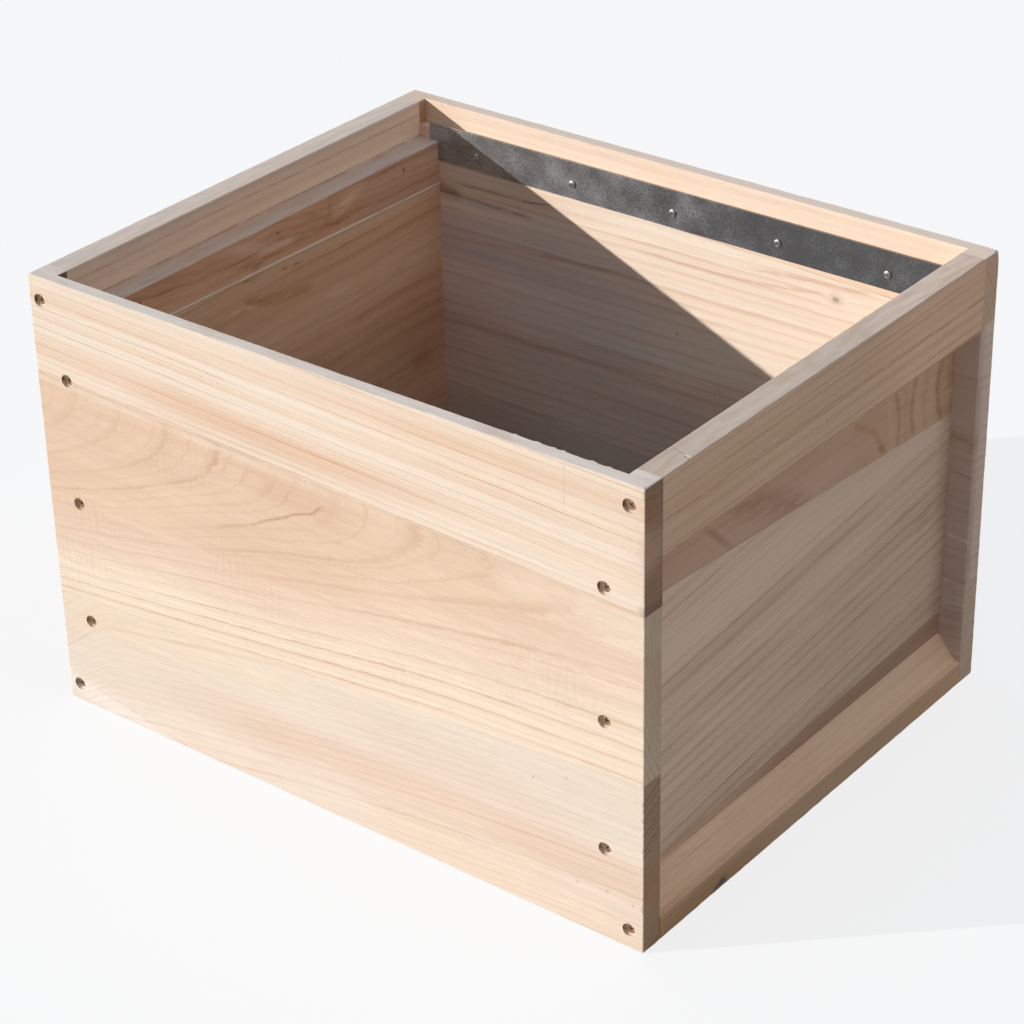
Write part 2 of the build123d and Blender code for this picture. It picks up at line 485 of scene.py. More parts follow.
class Shake(SharedGroup):
    """An uneven hand for marks: how far they stray, and where they break."""

    name = "shake"
    takes = sockets(vectors="place")
    gives = sockets("whole", vectors="offset")

    stray_noise = ((45.0, 90.0, 90.0), 3.0, 0.45)
    gap_noise, gap_span = ((50.0, 520.0, 520.0), 3.0), (0.22, 0.56)

    def build(self, graph: Graph, given: SimpleNamespace) -> dict[str, Wire]:
        """Fills the group.

        Args:
            graph: The group's graph.
            given: Its inputs.

        Returns:
            How far marks stray, and where they are whole.
        """
        return {"offset": graph.sway(given.place, *self.stray_noise),
                "whole": graph.noise(given.place, *self.gap_noise).rise(*self.gap_span)}


class StrokeMark(SharedGroup):
    """A soft mark between two points, which may fade out at either end."""

    name = "stroke_mark"
    takes = sockets("width ragged lead trail", vectors="place offset start end")
    gives = sockets("mark")

    lead_end, trail_start = 0.45, 0.55

    def build(self, graph: Graph, given: SimpleNamespace) -> dict[str, Wire]:
        """Fills the group.

        Args:
            graph: The group's graph.
            given: Its inputs.

        Returns:
            The mark's strength.
        """
        reach = given.end - given.start
        way = given.place + given.offset * given.ragged - given.start
        share = way.to("DOT_PRODUCT", reach).to("DIVIDE", reach.to("DOT_PRODUCT", reach), clamp=True)
        away = way.to("DISTANCE", reach * share) / given.width
        faded = share.fall(0.0, self.lead_end) * given.lead
        faded = faded.to("MAXIMUM", share.rise(self.trail_start, 1.0) * given.trail)
        return {"mark": graph.reckon("SUBTRACT", 1.0, away, clamp=True) * (1.0 - faded)}


class GlueSeam(SharedGroup):
    """A glued edge joint between two boards: a thin dark seam, and a band beside it."""

    name = "glue_seam"
    takes = sockets("height slope band band_end end_grain", vectors="place")
    gives = sockets("seam band")

    seam_half = 0.0007
    waver_pitch, seam_waver, band_waver = (30.0, 90.0, 90.0), (0.30, 0.62, 0.25, 1.0), (0.25, 0.6, 0.35, 1.0)
    band_in, band_out, run_out = (0.15, 0.35), (0.90, 1.05), (-0.10, 0.02)

    def build(self, graph: Graph, given: SimpleNamespace) -> dict[str, Wire]:
        """Fills the group.

        Args:
            graph: The group's graph.
            given: Its inputs.

        Returns:
            The seam's and the band's strength.
        """
        along, _, height = graph.split(given.place)
        under = along * given.slope + given.height - height
        waver = graph.noise(given.place, self.waver_pitch)
        seam = under.to("ABSOLUTE").fall(0.0, self.seam_half) * waver.rise(*self.seam_waver)
        share = under / given.band
        band = share.rise(*self.band_in) * share.fall(*self.band_out) * waver.rise(*self.band_waver)
        band = band * (along - given.band_end).fall(*self.run_out)
        flat = 1.0 - given.end_grain
        return {"seam": seam * flat, "band": band * flat}


class ToneZone(SharedGroup):
    """A soft streak of darker or paler colour along a board: a tone of the wood, or painted shade."""

    name = "tone_zone"
    takes = sockets("height slope half left right", vectors="place")
    gives = sockets("share")

    ragged_noise, edge, run_out = ((9.0, 120.0, 120.0), 3.0, 0.6), (0.45, 1.35), (-0.05, 0.05)

    def build(self, graph: Graph, given: SimpleNamespace) -> dict[str, Wire]:
        """Fills the group.

        Args:
            graph: The group's graph.
            given: Its inputs.

        Returns:
            The streak's strength.
        """
        along, _, height = graph.split(given.place)
        away = (height - (along * given.slope + given.height)).to("ABSOLUTE") / given.half
        share = (away + (graph.noise(given.place, *self.ragged_noise) - 0.5)).fall(*self.edge)
        for inside in (along - given.left, given.right - along):
            share = share * inside.rise(*self.run_out)
        return {"share": share}


class MetalSurface(SharedGroup):
    """Uneven metal: cloudy mottling, fine specks, a slow dip and rise, and a duller end painted paler as
    sheen.
    """

    name = "metal_surface"
    takes = sockets("cloud_pitch pale_roughness dark_roughness cloud_low cloud_high dull_end",
                    vectors="place", colours="dark pale")
    gives = sockets("roughness height", colours="colour")

    cloud_noise, cloud_share = (1.0, 4.0, 0.62), 0.52
    grit_noise, grit_share, grit_height = (11.0, 2.0, 0.6), 0.48, 0.04
    speck_noise, speck_span, speck_share = (23.0, 1.0), (0.64, 0.76), 0.5
    dip_noise = (0.35, 1.0)
    dull_span = (-0.10, 0.16)

    def build(self, graph: Graph, given: SimpleNamespace) -> dict[str, Wire]:
        """Fills the group.

        Args:
            graph: The group's graph.
            given: Its inputs.

        Returns:
            Colour, roughness and height.
        """
        spread = given.place * given.cloud_pitch
        grit = graph.noise(spread, *self.grit_noise)
        mottle = grit * self.grit_share + graph.noise(spread, *self.cloud_noise) * self.cloud_share
        # Painted sheen: towards low X the metal is paler and rougher, standing in for a reflection of the
        # sky.
        dull = graph.split(given.place)[0].fall(*self.dull_span) * given.dull_end
        share = (mottle + dull).rise(given.cloud_low, given.cloud_high)
        speck = graph.noise(spread, *self.speck_noise).rise(*self.speck_span)
        return {"colour": given.dark.coat(given.pale, share).coat(given.pale, speck * self.speck_share),
                "roughness": share * (given.pale_roughness - given.dark_roughness) + given.dark_roughness,
                "height": grit * self.grit_height + graph.noise(spread, *self.dip_noise)}


@dataclass(frozen=True)
class Groups:
    """The shared groups, each built once."""

    rings: GrowthRings = field(default_factory=GrowthRings)
    fibres: Fibres = field(default_factory=Fibres)
    colour: TimberColour = field(default_factory=TimberColour)
    knot: KnotMark = field(default_factory=KnotMark)
    shake: Shake = field(default_factory=Shake)
    stroke: StrokeMark = field(default_factory=StrokeMark)
    seam: GlueSeam = field(default_factory=GlueSeam)
    zone: ToneZone = field(default_factory=ToneZone)
    metal: MetalSurface = field(default_factory=MetalSurface)


@dataclass(frozen=True)
class Figure:
    """How the growth rings lie in one board: along the fibres, into the board's depth, and up."""

    pith_depth: float
    pith_height: float
    depth_drift: float = 0.0
    height_drift: float = 0.0
    ring_width: float = 0.008
    ring_shift: float = 0.0
    unevenness: float = 0.8
    waver: float = 0.0012
    waver_pitch: float = 5.0
    drift_limit: float = 1.0
    fine_lines: float = 0.30
    line_start: float = 0.60
    seed: float = 1.0


@dataclass(frozen=True)
class Tones:
    """Colours of one board, and how strongly its lines, rings, blotches and ripple show."""

    light: Colour
    line_tint: Colour
    deep: Colour
    line_depth: float
    tone_depth: float
    blotch_depth: float
    ripple_depth: float = 0.0
    end_tint: Colour = (0.62, 0.56, 0.50)
    end_lines: float = 0.4
    sap: Colour = (0.80, 0.65, 0.52)
    sap_start: float = 8.0
    sap_end: float = 9.0


@dataclass(frozen=True)
class Knot:
    """A knot at one point of a board, in the board's own along, depth and height; the class also carries one
    long soft spot of painted shade.
    """

    centre: Point
    size: Point
    push: float
    colour: Colour = (0.20, 0.12, 0.07)
    depth: float = 0.0


@dataclass(frozen=True)
class Stroke:
    """A mark along a bent line, in the board's own along, depth and height, and how far its ends fade."""

    colour: Colour
    depth: float
    width: float
    ragged: float
    fade: Fade
    points: tuple[Point, ...]


@dataclass(frozen=True)
class Seam:
    """A glue joint's height at the middle of the wall, its slope, how dark it is, and the band below it."""

    height: float
    slope: float
    seam_depth: float
    band: float = 0.006
    band_colour: Colour = (0.84, 0.68, 0.55)
    band_depth: float = 0.0
    band_end: float = 1.0


@dataclass(frozen=True)
class Zone:
    """A soft streak along a board, of wood tone or painted shade: its height at the middle, slope, half
    width, tint and reach.
    """

    height: float
    slope: float
    half: float
    tint: Colour
    left: float = -1.0
    right: float = 1.0


@dataclass(frozen=True)
class TimberFinish:
    """Planed, unpainted timber of one board."""

    figure: Figure
    tones: Tones
    knots: tuple[Knot, ...] = ()
    strokes: tuple[Stroke, ...] = ()
    seams: tuple[Seam, ...] = ()
    zones: tuple[Zone, ...] = ()
    # Faces that look up get a weathered grey that is partly painted sky light, laid on unevenly by noise.
    weathered: Colour | None = None
    weather_share: float = 0.0
    weather_from: float = 0.36
    # Painted shade: a darkening of faces that stand upright.
    upright_tint: Colour | None = None

    seam_tint, edge_share, halo_share = (0.30, 0.19, 0.12), 0.55, 0.35
    end_span, upward_span, upright_span = (0.75, 0.95), (0.80, 0.95), (0.25, 0.55)
    grime_noise, grime_span = ((30.0, 170.0, 170.0), 4.0, 0.6), (0.32, 0.66)
    grime_low, grime_high = 0.45, 1.25
    specular, bump_depth, bump_strength = 0.25, 0.00022, 0.8

    def material(self, groups: Groups, name: str, grain: Grain) -> Material:
        """Builds the board's material.

        Args:
            groups: The shared groups.
            name: The material's name.
            grain: Which way the fibres run.

        Returns:
            The material.
        """
        made, graph, shader = new_material(name)
        coordinates = graph.node("TexCoord").outputs
        turn = (0.0, 0.0, grain.value)
        place = graph.out("Mapping", Wire(coordinates["Object"]), None, turn)
        facing = graph.split(Wire(coordinates["Normal"]))
        end = facing[grain.axis()].to("ABSOLUTE").rise(*self.end_span)
        edge = graph.out("Attribute", which="Fac", attribute_name=WEAR_LAYER) * self.edge_share
        knots = [groups.knot.place(graph, knot, place=place) for knot in self.knots]
        bend = sum((mark["bend"] for mark in knots), 0.0)
        rings = groups.rings.place(graph, self.figure, place=place, bend=bend)
        fibres = groups.fibres.place(graph, place=place, seed=self.figure.seed)
        look = groups.colour.place(graph, self.tones, **rings, **fibres, end_grain=end, edge=edge)
        look["colour"] = self.aged(graph, place, facing[2], look["colour"])
        look["colour"] = self.marked(graph, groups, place, end, look["colour"], knots)
        shader.inputs["Specular IOR Level"].default_value = self.specular
        lay_surface(graph, shader, look, self.bump_depth, self.bump_strength)
        return made

    def aged(self, graph: Graph, place: Wire, upward: Wire, colour: Wire) -> Wire:
        """Lays a weathered grey, which is partly painted sky light, where the timber faces up, and painted
        shade where it stands upright.

        Args:
            graph: The material's graph.
            place: Where the pattern is read.
            upward: How far the face looks up.
            colour: The bare timber.

        Returns:
            The colour with weathering, painted sky light and painted shade.
        """
        if self.weathered:
            low, high = self.grime_low * self.weather_share, self.grime_high * self.weather_share
            grime = graph.noise(place, *self.grime_noise).rise(*self.grime_span, low, high)
            top = graph.split(place)[2].to("GREATER_THAN", self.weather_from)
            colour = colour.coat(self.weathered, upward.rise(*self.upward_span) * top * grime)
        if self.upright_tint:
            colour = colour.coat(self.upright_tint, upward.fall(*self.upright_span), Blend.STAIN)
        return colour

    def marked(self, graph: Graph, groups: Groups, place: Wire, end: Wire, colour: Wire,
               knots: list[dict[str, Wire]]) -> Wire:
        """Lays zones, seams, knots and strokes over the timber's colour.

        Args:
            graph: The material's graph.
            groups: The shared groups.
            place: Where the pattern is read.
            end: Where end grain shows.
            colour: The timber with its weathering and painted light.
            knots: The placed knot groups.

        Returns:
            The colour with its marks.
        """
        for zone in self.zones:
            streak = groups.zone.place(graph, zone, place=place)
            colour = colour.coat(zone.tint, streak["share"], Blend.STAIN)
        for seam in self.seams:
            joint = groups.seam.place(graph, seam, place=place, end_grain=end)
            if seam.band_depth:
                colour = colour.coat(seam.band_colour, joint["band"] * seam.band_depth)
            colour = colour.coat(self.seam_tint, joint["seam"] * seam.seam_depth)
        for knot, mark in zip(self.knots, knots):
            if knot.depth:
                colour = colour.coat(knot.colour, mark["halo"] * (self.halo_share * knot.depth))
                colour = colour.coat(knot.colour, mark["core"] * knot.depth)
        if not self.strokes:
            return colour
        shake = groups.shake.place(graph, place=place)
        for stroke in self.strokes:
            mark, last = 0.0, len(stroke.points) - 2
            for index, (start, finish) in enumerate(zip(stroke.points, stroke.points[1:])):
                lead = stroke.fade[0] if index == 0 else 0.0
                trail = stroke.fade[1] if index == last else 0.0
                part = groups.stroke.place(graph, stroke, place=place, offset=shake["offset"], start=start,
                                           end=finish, lead=lead, trail=trail)
                mark = part["mark"].to("MAXIMUM", mark)
            colour = colour.coat(stroke.colour, mark * shake["whole"] * stroke.depth)
        return colour


@dataclass(frozen=True)
class MetalFinish:
    """Bare or plated steel."""

    name: str
    dark: Colour
    pale: Colour
    pale_roughness: float
    dark_roughness: float
    cloud_pitch: float
    bump_depth: float = 0.0
    metallic: float = 1.0
    dull_end: float = 0.0
    cloud_low: float = 0.36
    cloud_high: float = 0.70

    def material(self, groups: Groups) -> Material:
        """Builds the metal's material.

        Args:
            groups: The shared groups.

        Returns:
            The material.
        """
        made, graph, shader = new_material(self.name)
        look = groups.metal.place(graph, self, place=graph.out("TexCoord", which="Object"))
        shader.inputs["Metallic"].default_value = self.metallic
        lay_surface(graph, shader, look, self.bump_depth)
        return made


def new_material(name: str) -> tuple[Material, Graph, Node]:
    """Starts a material with nothing but its shader.

    Args:
        name: The material's name.

    Returns:
        The material, its graph, and its Principled BSDF.
    """
    made = bpy.data.materials.new(name)
    made.use_nodes = True
    return made, Graph(made.node_tree), made.node_tree.nodes["Principled BSDF"]


def lay_surface(graph: Graph, shader: Node, look: dict[str, Wire], depth: float,
                strength: float = 1.0) -> None:
    """Feeds a shader with a colour, a roughness and, where it has a depth, a bump.

    Args:
        graph: The material's graph.
        shader: Its Principled BSDF.
        look: Colour, roughness and height.
        depth: The bump's depth; nought leaves the surface even.
        strength: The bump's strength.
    """
    graph.feed(shader.inputs["Base Color"], look["colour"])
    graph.feed(shader.inputs["Roughness"], look["roughness"])
    if depth:
        bump = graph.node("Bump")
        for title, value in (("Strength", strength), ("Distance", depth), ("Height", look["height"])):
            graph.feed(bump.inputs[title], value)
        graph.feed(shader.inputs["Normal"], Wire(bump.outputs[0]))


def add_object(name: str, data: ID) -> Object:
    """Puts a mesh, a lamp or a camera into the scene.

    Args:
        name: The object's name.
        data: What it shows.

    Returns:
        The new object.
    """
    made = bpy.data.objects.new(name, data)
    bpy.context.scene.collection.objects.link(made)
    return made


def add_mesh(name: str, shape: BMesh, material: Material) -> Object:
    """Puts a finished shape into the scene.

    Args:
        name: The object's name.
        shape: Its shape, which is freed.
        material: Its material.

    Returns:
        The new object.
    """
    mesh = bpy.data.meshes.new(name)
    shape.to_mesh(mesh)
    shape.free()
    mesh.materials.append(material)
    return add_object(name, mesh)


def add_piece(name: str, shape: BMesh, material: Material, node: str) -> None:
    """Turns a finished shape into a piece that rides on the box.

    Args:
        name: The piece's name.
        shape: Its shape, which is freed.
        material: Its material.
        node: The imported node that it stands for.
    """
    piece = add_mesh(name, shape, material)
    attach(piece, BODY)
    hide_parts(node)
    LOG.info("%s: %d faces", name, len(piece.data.polygons))


def packed_shape(node: str) -> BMesh:
    """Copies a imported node's shape, with the corners of its faces joined.

    Args:
        node: The node's name.

    Returns:
        The shape, to be freed by the caller.
    """
    shape = bmesh.new()
    shape.from_mesh(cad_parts[node].data)
    bmesh.ops.remove_doubles(shape, verts=shape.verts[:], dist=MERGE_DISTANCE)
    return shape


def node_islands(node: str) -> list[tuple[Vector, Vector]]:
    """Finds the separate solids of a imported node.

    Args:
        node: The node's name.

    Returns:
        Lowest and highest corner of each solid, by height and then along X.
    """
    shape = packed_shape(node)
    left, corners = set(shape.verts), []
    while left:
        queue, points = [left.pop()], []
        while queue:
            vert = queue.pop()
            points.append(vert.co.copy())
            for edge in vert.link_edges:
                other = edge.other_vert(vert)
                if other in left:
                    left.remove(other)
                    queue.append(other)
        low, high = (Vector(pick(p[axis] for p in points) for axis in range(3)) for pick in (min, max))
        corners.append((low, high))
    shape.free()
    return sorted(corners, key=lambda pair: (round(pair[0].z, 4), pair[0].x, pair[0].y))


def half_noise(place: Vector) -> float:
    """Smooth noise from nought to one."""
    return 0.5 + 0.5 * noise.noise(place)


@dataclass(frozen=True)
class Nick:
    """A spot where a board's edge is chipped, or stands out as a burr where the depth is below nought."""

    centre: Point
    length: float
    depth: float


@dataclass(frozen=True)
class Bore:
    """A screw's counterbore in a board's outer face, with its axis along Y."""

    centre: Vector
    face: float
    radius: float = 0.005

    inner_share, outer_share, reach = 0.94, 1.01, 0.004

    def away(self, vert: BMVert) -> Vector:
        """Way from the bore's axis to a vertex."""
        return Vector((vert.co.x - self.centre.x, 0.0, vert.co.z - self.centre.z))

    def holds(self, vert: BMVert) -> bool:
        """Tells whether a vertex lies on the bore's wall."""
        share = math.hypot(vert.co.x - self.centre.x, vert.co.z - self.centre.z) / self.radius
        return self.inner_share < share < self.outer_share and abs(vert.co.y - self.face) < self.reach


@dataclass
class Board:
    """One board or rail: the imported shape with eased, worn edges and round, torn bores."""

    node: str
    name: str
    slot: str
    grain: Grain
    finish: TimberFinish
    nicks: tuple[Nick, ...] = ()
    bores: tuple[Bore, ...] = ()
    ease: float = 0.0009
    ease_segments: int = 2
    wear: float = 0.5
    tear: float = 0.0007

    probe, least_edge, sharp_angle, flat_angle = 0.0006, 0.006, math.radians(20), math.radians(0.5)
    wear_step, wear_pitch, chip_pitch, chip_share, crown_share = 0.0025, 120.0, 610.0, 0.5, 0.75
    tear_pitch, tear_shift, splinter_pitch = 2.6, (70, 90), 1500
    tear_across, tear_along, splinter_share = 0.35, 0.65, 0.35
    parallel, slack, rim_cuts, most_sides = 0.999, 0.01, 3, 6

    def open_edges(self, shape: BMesh) -> list[BMEdge]:
        """Finds the edges that no other piece of the box covers.

        Args:
            shape: The board.

        Returns:
            The edges to ease.
        """
        others = [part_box(name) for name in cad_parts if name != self.node]
        found = []
        for edge in shape.edges:
            if len(edge.link_faces) != 2 or edge.calc_length() < self.least_edge:
                continue
            if edge.calc_face_angle(0.0) < self.sharp_angle or not edge.is_convex:
                continue
            middle = (edge.verts[0].co + edge.verts[1].co) / 2
            inward = -(edge.link_faces[0].normal + edge.link_faces[1].normal) * self.probe
            probes = [middle + face.normal * self.probe + inward / 2 for face in edge.link_faces]
            covered = (all(low[i] < point[i] < high[i] for i in range(3))
                       for point in probes for low, high in others)
            if not any(covered):
                found.append(edge)
        return found

    def round_bores(self, shape: BMesh) -> None:
        """Makes the many-sided bores round.

        Args:
            shape: The board.
        """
        for bore in self.bores:
            rim = [edge for edge in shape.edges if all(bore.holds(vert) for vert in edge.verts)
                   and abs(edge.verts[0].co.y - edge.verts[1].co.y) < MERGE_DISTANCE]
            bmesh.ops.subdivide_edges(shape, edges=rim, cuts=self.rim_cuts)
            for vert in [v for v in shape.verts if bore.holds(v)]:
                vert.co.x, vert.co.z = (bore.centre + bore.away(vert).normalized() * bore.radius).xz

    def tear_bores(self, shape: BMesh) -> None:
        """Tears the rims of the bores, mostly along the fibres, within the board's face.

        Args:
            shape: The board.
        """
        for bore in self.bores:
            shift_x, shift_z = bore.centre.x * self.tear_shift[0], bore.centre.z * self.tear_shift[1]
            for vert in shape.verts:
                if not bore.holds(vert) or abs(vert.co.y - bore.face) > MERGE_DISTANCE:
                    continue
                away = bore.away(vert).normalized()
                turn = Vector((away.x * self.tear_pitch, shift_z, away.z * self.tear_pitch + shift_x))
                torn = half_noise(turn) * (self.tear_across + self.tear_along * abs(away.x))
                splinter = self.splinter_share * half_noise(vert.co * self.splinter_pitch)
                vert.co += away * self.tear * (torn + splinter)

    def near(self, point: Vector, start: Vector, end: Vector) -> tuple[float, Vector] | None:
        """Measures a point of an eased edge against the sharp edge that was there.

        Args:
            point: The point.
            start: One end of the sharp edge.
            end: Its other end.

        Returns:
            Distance and nearest point of the sharp edge, or None if the point isn't part of it.
        """
        foot, share = intersect_point_line(point, start, end)
        away = (point - foot).length
        beside = -self.slack <= share <= 1 + self.slack
        return (away, foot) if beside and away < self.ease * (1 + self.slack) else None

    def divide_arrises(self, shape: BMesh, lines: list[tuple[Vector, Vector]]) -> None:
        """Divides the eased edges along their length, so that they can wear unevenly.

        Args:
            shape: The board after easing.
            lines: The sharp edges, as they were.
        """
        for start, end in lines:
            way = (end - start).normalized()
            strip = []
            for edge in shape.edges:
                along = edge.verts[1].co - edge.verts[0].co
                if along.length < self.wear_step or abs(along.normalized().dot(way)) < self.parallel:
                    continue
                if all(self.near(vert.co, start, end) for vert in edge.verts):
                    strip.append(edge)
            bmesh.ops.subdivide_edges(shape, edges=strip, cuts=int((end - start).length / self.wear_step))

    def wear_edges(self, shape: BMesh, lines: list[tuple[Vector, Vector]]) -> None:
        """Widens and narrows the eased edges along their length, and marks their crowns.

        Args:
            shape: The board after its eased edges were divided.
            lines: The sharp edges, as they were.
        """
        crown = shape.verts.layers.float.new(WEAR_LAYER)
        for vert in shape.verts:
            feet = [foot for start, end in lines if (foot := self.near(vert.co, start, end))]
            if not feet:
                continue
            away, foot = min(feet, key=lambda pair: pair[0])
            scale = 1 + self.wear * noise.noise(foot * self.wear_pitch)
            scale += self.wear * self.chip_share * noise.noise(foot * self.chip_pitch)
            for nick in self.nicks:
                scale += nick.depth * math.exp(-((foot - Vector(nick.centre)).length / nick.length) ** 2)
            vert[crown] = 1.0 if away < self.ease * self.crown_share else 0.0
            vert.co = foot + (vert.co - foot) * scale
            vert.co.z = min(vert.co.z, CAD_BOX[1][2])

    def shape(self) -> BMesh:
        """Builds the board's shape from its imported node.

        Returns:
            The shape, to be freed by add_piece.
        """
        shape = packed_shape(self.node)
        bmesh.ops.dissolve_limit(shape, angle_limit=self.flat_angle, verts=shape.verts[:],
                                 edges=shape.edges[:])
        self.round_bores(shape)
        edges = self.open_edges(shape)
        lines = [(edge.verts[0].co.copy(), edge.verts[1].co.copy()) for edge in edges]
        bmesh.ops.bevel(shape, geom=edges, offset=self.ease, offset_type="OFFSET", affect="EDGES",
                        segments=self.ease_segments, profile=0.5, material=-1)
        self.divide_arrises(shape, lines)
        self.tear_bores(shape)
        self.wear_edges(shape, lines)
        wide = [face for face in shape.faces if len(face.verts) > self.most_sides]
        bmesh.ops.triangulate(shape, faces=wide, quad_method="BEAUTY", ngon_method="BEAUTY")
        return shape

    def build(self, groups: Groups) -> None:
        """Adds the board to the scene."""
        material = self.finish.material(groups, self.name, self.grain)
        add_piece(f"{self.name}_dressed", self.shape(), material, self.node)


@dataclass
class LongWall:
    """A long wall of three edge-glued boards, with bored screw seats at both ends."""

    side: Side
    boards: dict[str, TimberFinish]
    nicks: tuple[Nick, ...]
    slot: str = "wall_wood"

    def bores(self) -> tuple[Bore, ...]:
        """Finds the wall's bores from its corner screws.

        Returns:
            One bore for each screw.
        """
        low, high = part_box(f"{self.side}_wall_middle_board")
        face = low.y if self.side is Side.FRONT else high.y
        return tuple(Bore((first + last) / 2, face) for end in (Side.LEFT, Side.RIGHT)
                     for first, last in node_islands(f"{self.side}_{end}_screws"))

    def build(self, groups: Groups) -> None:
        """Adds the wall's boards.

        Args:
            groups: The shared groups.
        """
        for level, finish in self.boards.items():
            Board(f"{self.side}_wall_{level}_board", f"{self.side}_{level}_timber", self.slot, Grain.ALONG_X,
                  finish, self.nicks, self.bores()).build(groups)


@dataclass
class BoxEnd:
    """A recessed end: a panel of three boards between a top rail and a bevelled bottom rail."""

    side: Side
    panel: dict[str, TimberFinish]
    rails: dict[str, TimberFinish]
    panel_slot: str = "panel_wood"
    rail_slot: str = "rail_wood"

    def build(self, groups: Groups) -> None:
        """Adds the end's boards and rails.

        Args:
            groups: The shared groups.
        """
        for level, finish in self.panel.items():
            Board(f"{self.side}_panel_{level}_board", f"{self.side}_{level}_timber", self.panel_slot,
                  Grain.ALONG_Y, finish).build(groups)
        for level, finish in self.rails.items():
            Board(f"{self.side}_{level}_rail", f"{self.side}_{level}_rail_timber", self.rail_slot,
                  Grain.ALONG_Y, finish).build(groups)


@dataclass
class DrivenScrew:
    """A cross-recessed screw, turned upright about Z with its head's top at nought."""

    head_radius: float
    steps: tuple[tuple[float, float], ...]
    recess_reach: float
    recess_width: float
    recess_depth: float
    crown: float = 0.0
    sides: int = 32
    recess_taper: float = 0.55
    dome_rings: tuple[float, ...] = (0.86, 0.72)

    def cross(self) -> list[Point]:
        """Outlines the recess, arm by arm.

        Returns:
            Twelve corners, anticlockwise.
        """
        half, corners = self.recess_width / 2, []
        for quarter in range(4):
            turn = Matrix.Rotation(quarter * math.pi / 2, 3, "Z")
            for corner in ((half, -half), (self.recess_reach, -half), (self.recess_reach, half)):
                corners.append(tuple(turn @ Vector((*corner, 0.0))))
        return corners

    def shape(self) -> BMesh:
        """Builds the screw.

        Returns:
            The shape, head up.
        """
        shape = bmesh.new()
        ring = bmesh.ops.create_circle(shape, cap_ends=False, segments=self.sides, radius=self.head_radius)
        rim = list({edge for vert in ring["verts"] for edge in vert.link_edges})
        inner = rim
        for share in self.dome_rings:
            inner = self.next_ring(shape, inner, self.head_radius * share, 0.0)
        corners = [shape.verts.new(point) for point in self.cross()]
        slot = [shape.edges.new((first, last)) for first, last in zip(corners, corners[1:] + corners[:1])]
        bmesh.ops.triangle_fill(shape, use_beauty=True, edges=inner + slot)
        for vert in shape.verts:
            vert.co.z += self.crown * (1 - (vert.co.xy.length / self.head_radius) ** 2)
        walls = bmesh.ops.extrude_edge_only(shape, edges=slot)["geom"]
        sunk = [item for item in walls if isinstance(item, BMVert)]
        bmesh.ops.translate(shape, verts=sunk, vec=(0.0, 0.0, -self.recess_depth))
        bmesh.ops.scale(shape, verts=sunk, vec=(self.recess_taper, self.recess_taper, 1.0))
        bmesh.ops.edgeloop_fill(shape, edges=[item for item in walls if isinstance(item, BMEdge)
                                              and all(vert in sunk for vert in item.verts)])
        edges = rim
        for radius, height in self.steps:
            edges = self.next_ring(shape, edges, radius, height)
        bmesh.ops.edgeloop_fill(shape, edges=edges)
        bmesh.ops.recalc_face_normals(shape, faces=shape.faces[:])
        return shape

    def next_ring(self, shape: BMesh, edges: list[BMEdge], radius: float, height: float) -> list[BMEdge]:
        """Carries a ring of edges on to another radius and height.

        Args:
            shape: The screw.
            edges: The ring so far.
            radius: The next ring's radius.
            height: The next ring's height.

        Returns:
            The next ring's edges.
        """
        grown = bmesh.ops.extrude_edge_only(shape, edges=edges)["geom"]
        verts = {item for item in grown if isinstance(item, BMVert)}
        for vert in verts:
            vert.co.xy = vert.co.xy.normalized() * radius
            vert.co.z = height
        return [item for item in grown if isinstance(item, BMEdge) and verts.issuperset(item.verts)]

    def driven(self, node: str, facing: Vector, rng: random.Random) -> BMesh:
        """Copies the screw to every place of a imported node, each turned by chance about its axis.

        Args:
            node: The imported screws.
            facing: Which way their heads face, along Y.
            rng: Draws the turns.

        Returns:
            All the screws as one shape.
        """
        one = bpy.data.meshes.new("one_screw")
        master = self.shape()
        master.to_mesh(one)
        master.free()
        group = bmesh.new()
        turn = facing.to_track_quat("Z", "X").to_matrix().to_4x4()
        for low, high in node_islands(node):
            top = (high.y if facing.y > 0 else low.y) - facing.y * self.crown
            place = Matrix.Translation(((low.x + high.x) / 2, top, (low.z + high.z) / 2))
            before = len(group.verts)
            group.from_mesh(one)
            group.verts.ensure_lookup_table()
            spin = Matrix.Rotation(rng.uniform(0, math.pi), 4, "Z")
            bmesh.ops.transform(group, verts=group.verts[before:], matrix=place @ turn @ spin)
        bpy.data.meshes.remove(one)
        for face in group.faces:
            face.smooth = False
        return group


@dataclass
class Hardware:
    """Runners, their pan-head screws, the sunk wall screws and the brads."""

    zinc: MetalFinish
    bright: MetalFinish
    bronzed: MetalFinish
    dull: MetalFinish
    wall_screw: DrivenScrew
    pan_screw: DrivenScrew
    seed: int = 11

    def build(self, groups: Groups) -> None:
        """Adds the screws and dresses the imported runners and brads.

        Args:
            groups: The shared groups.
        """
        rng = random.Random(self.seed)
        bronzed, bright = self.bronzed.material(groups), self.bright.material(groups)
        zinc, dull = self.zinc.material(groups), self.dull.material(groups)
        for wall, outward in ((Side.FRONT, -1.0), (Side.BACK, 1.0)):
            facing = Vector((0.0, outward, 0.0))
            for end in (Side.LEFT, Side.RIGHT):
                node = f"{wall}_{end}_screws"
                screws = self.wall_screw.driven(node, facing, rng)
                add_piece(f"{wall}_{end}_driven_screws", screws, bronzed, node)
            node = f"{wall}_runner_screws"
            screws = self.pan_screw.driven(node, -facing, rng)
            add_piece(f"{wall}_pan_screws", screws, bright, node)
            self.dress(f"{wall}_frame_runner", zinc)
        for end in (Side.LEFT, Side.RIGHT):
            self.dress(f"{end}_rail_brads", dull)

    def dress(self, node: str, material: Material) -> None:
        """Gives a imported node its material.

        Args:
            node: The node's name.
            material: Its material.
        """
        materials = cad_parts[node].data.materials
        materials.clear()
        materials.append(material)
        LOG.info("%s dressed", node)


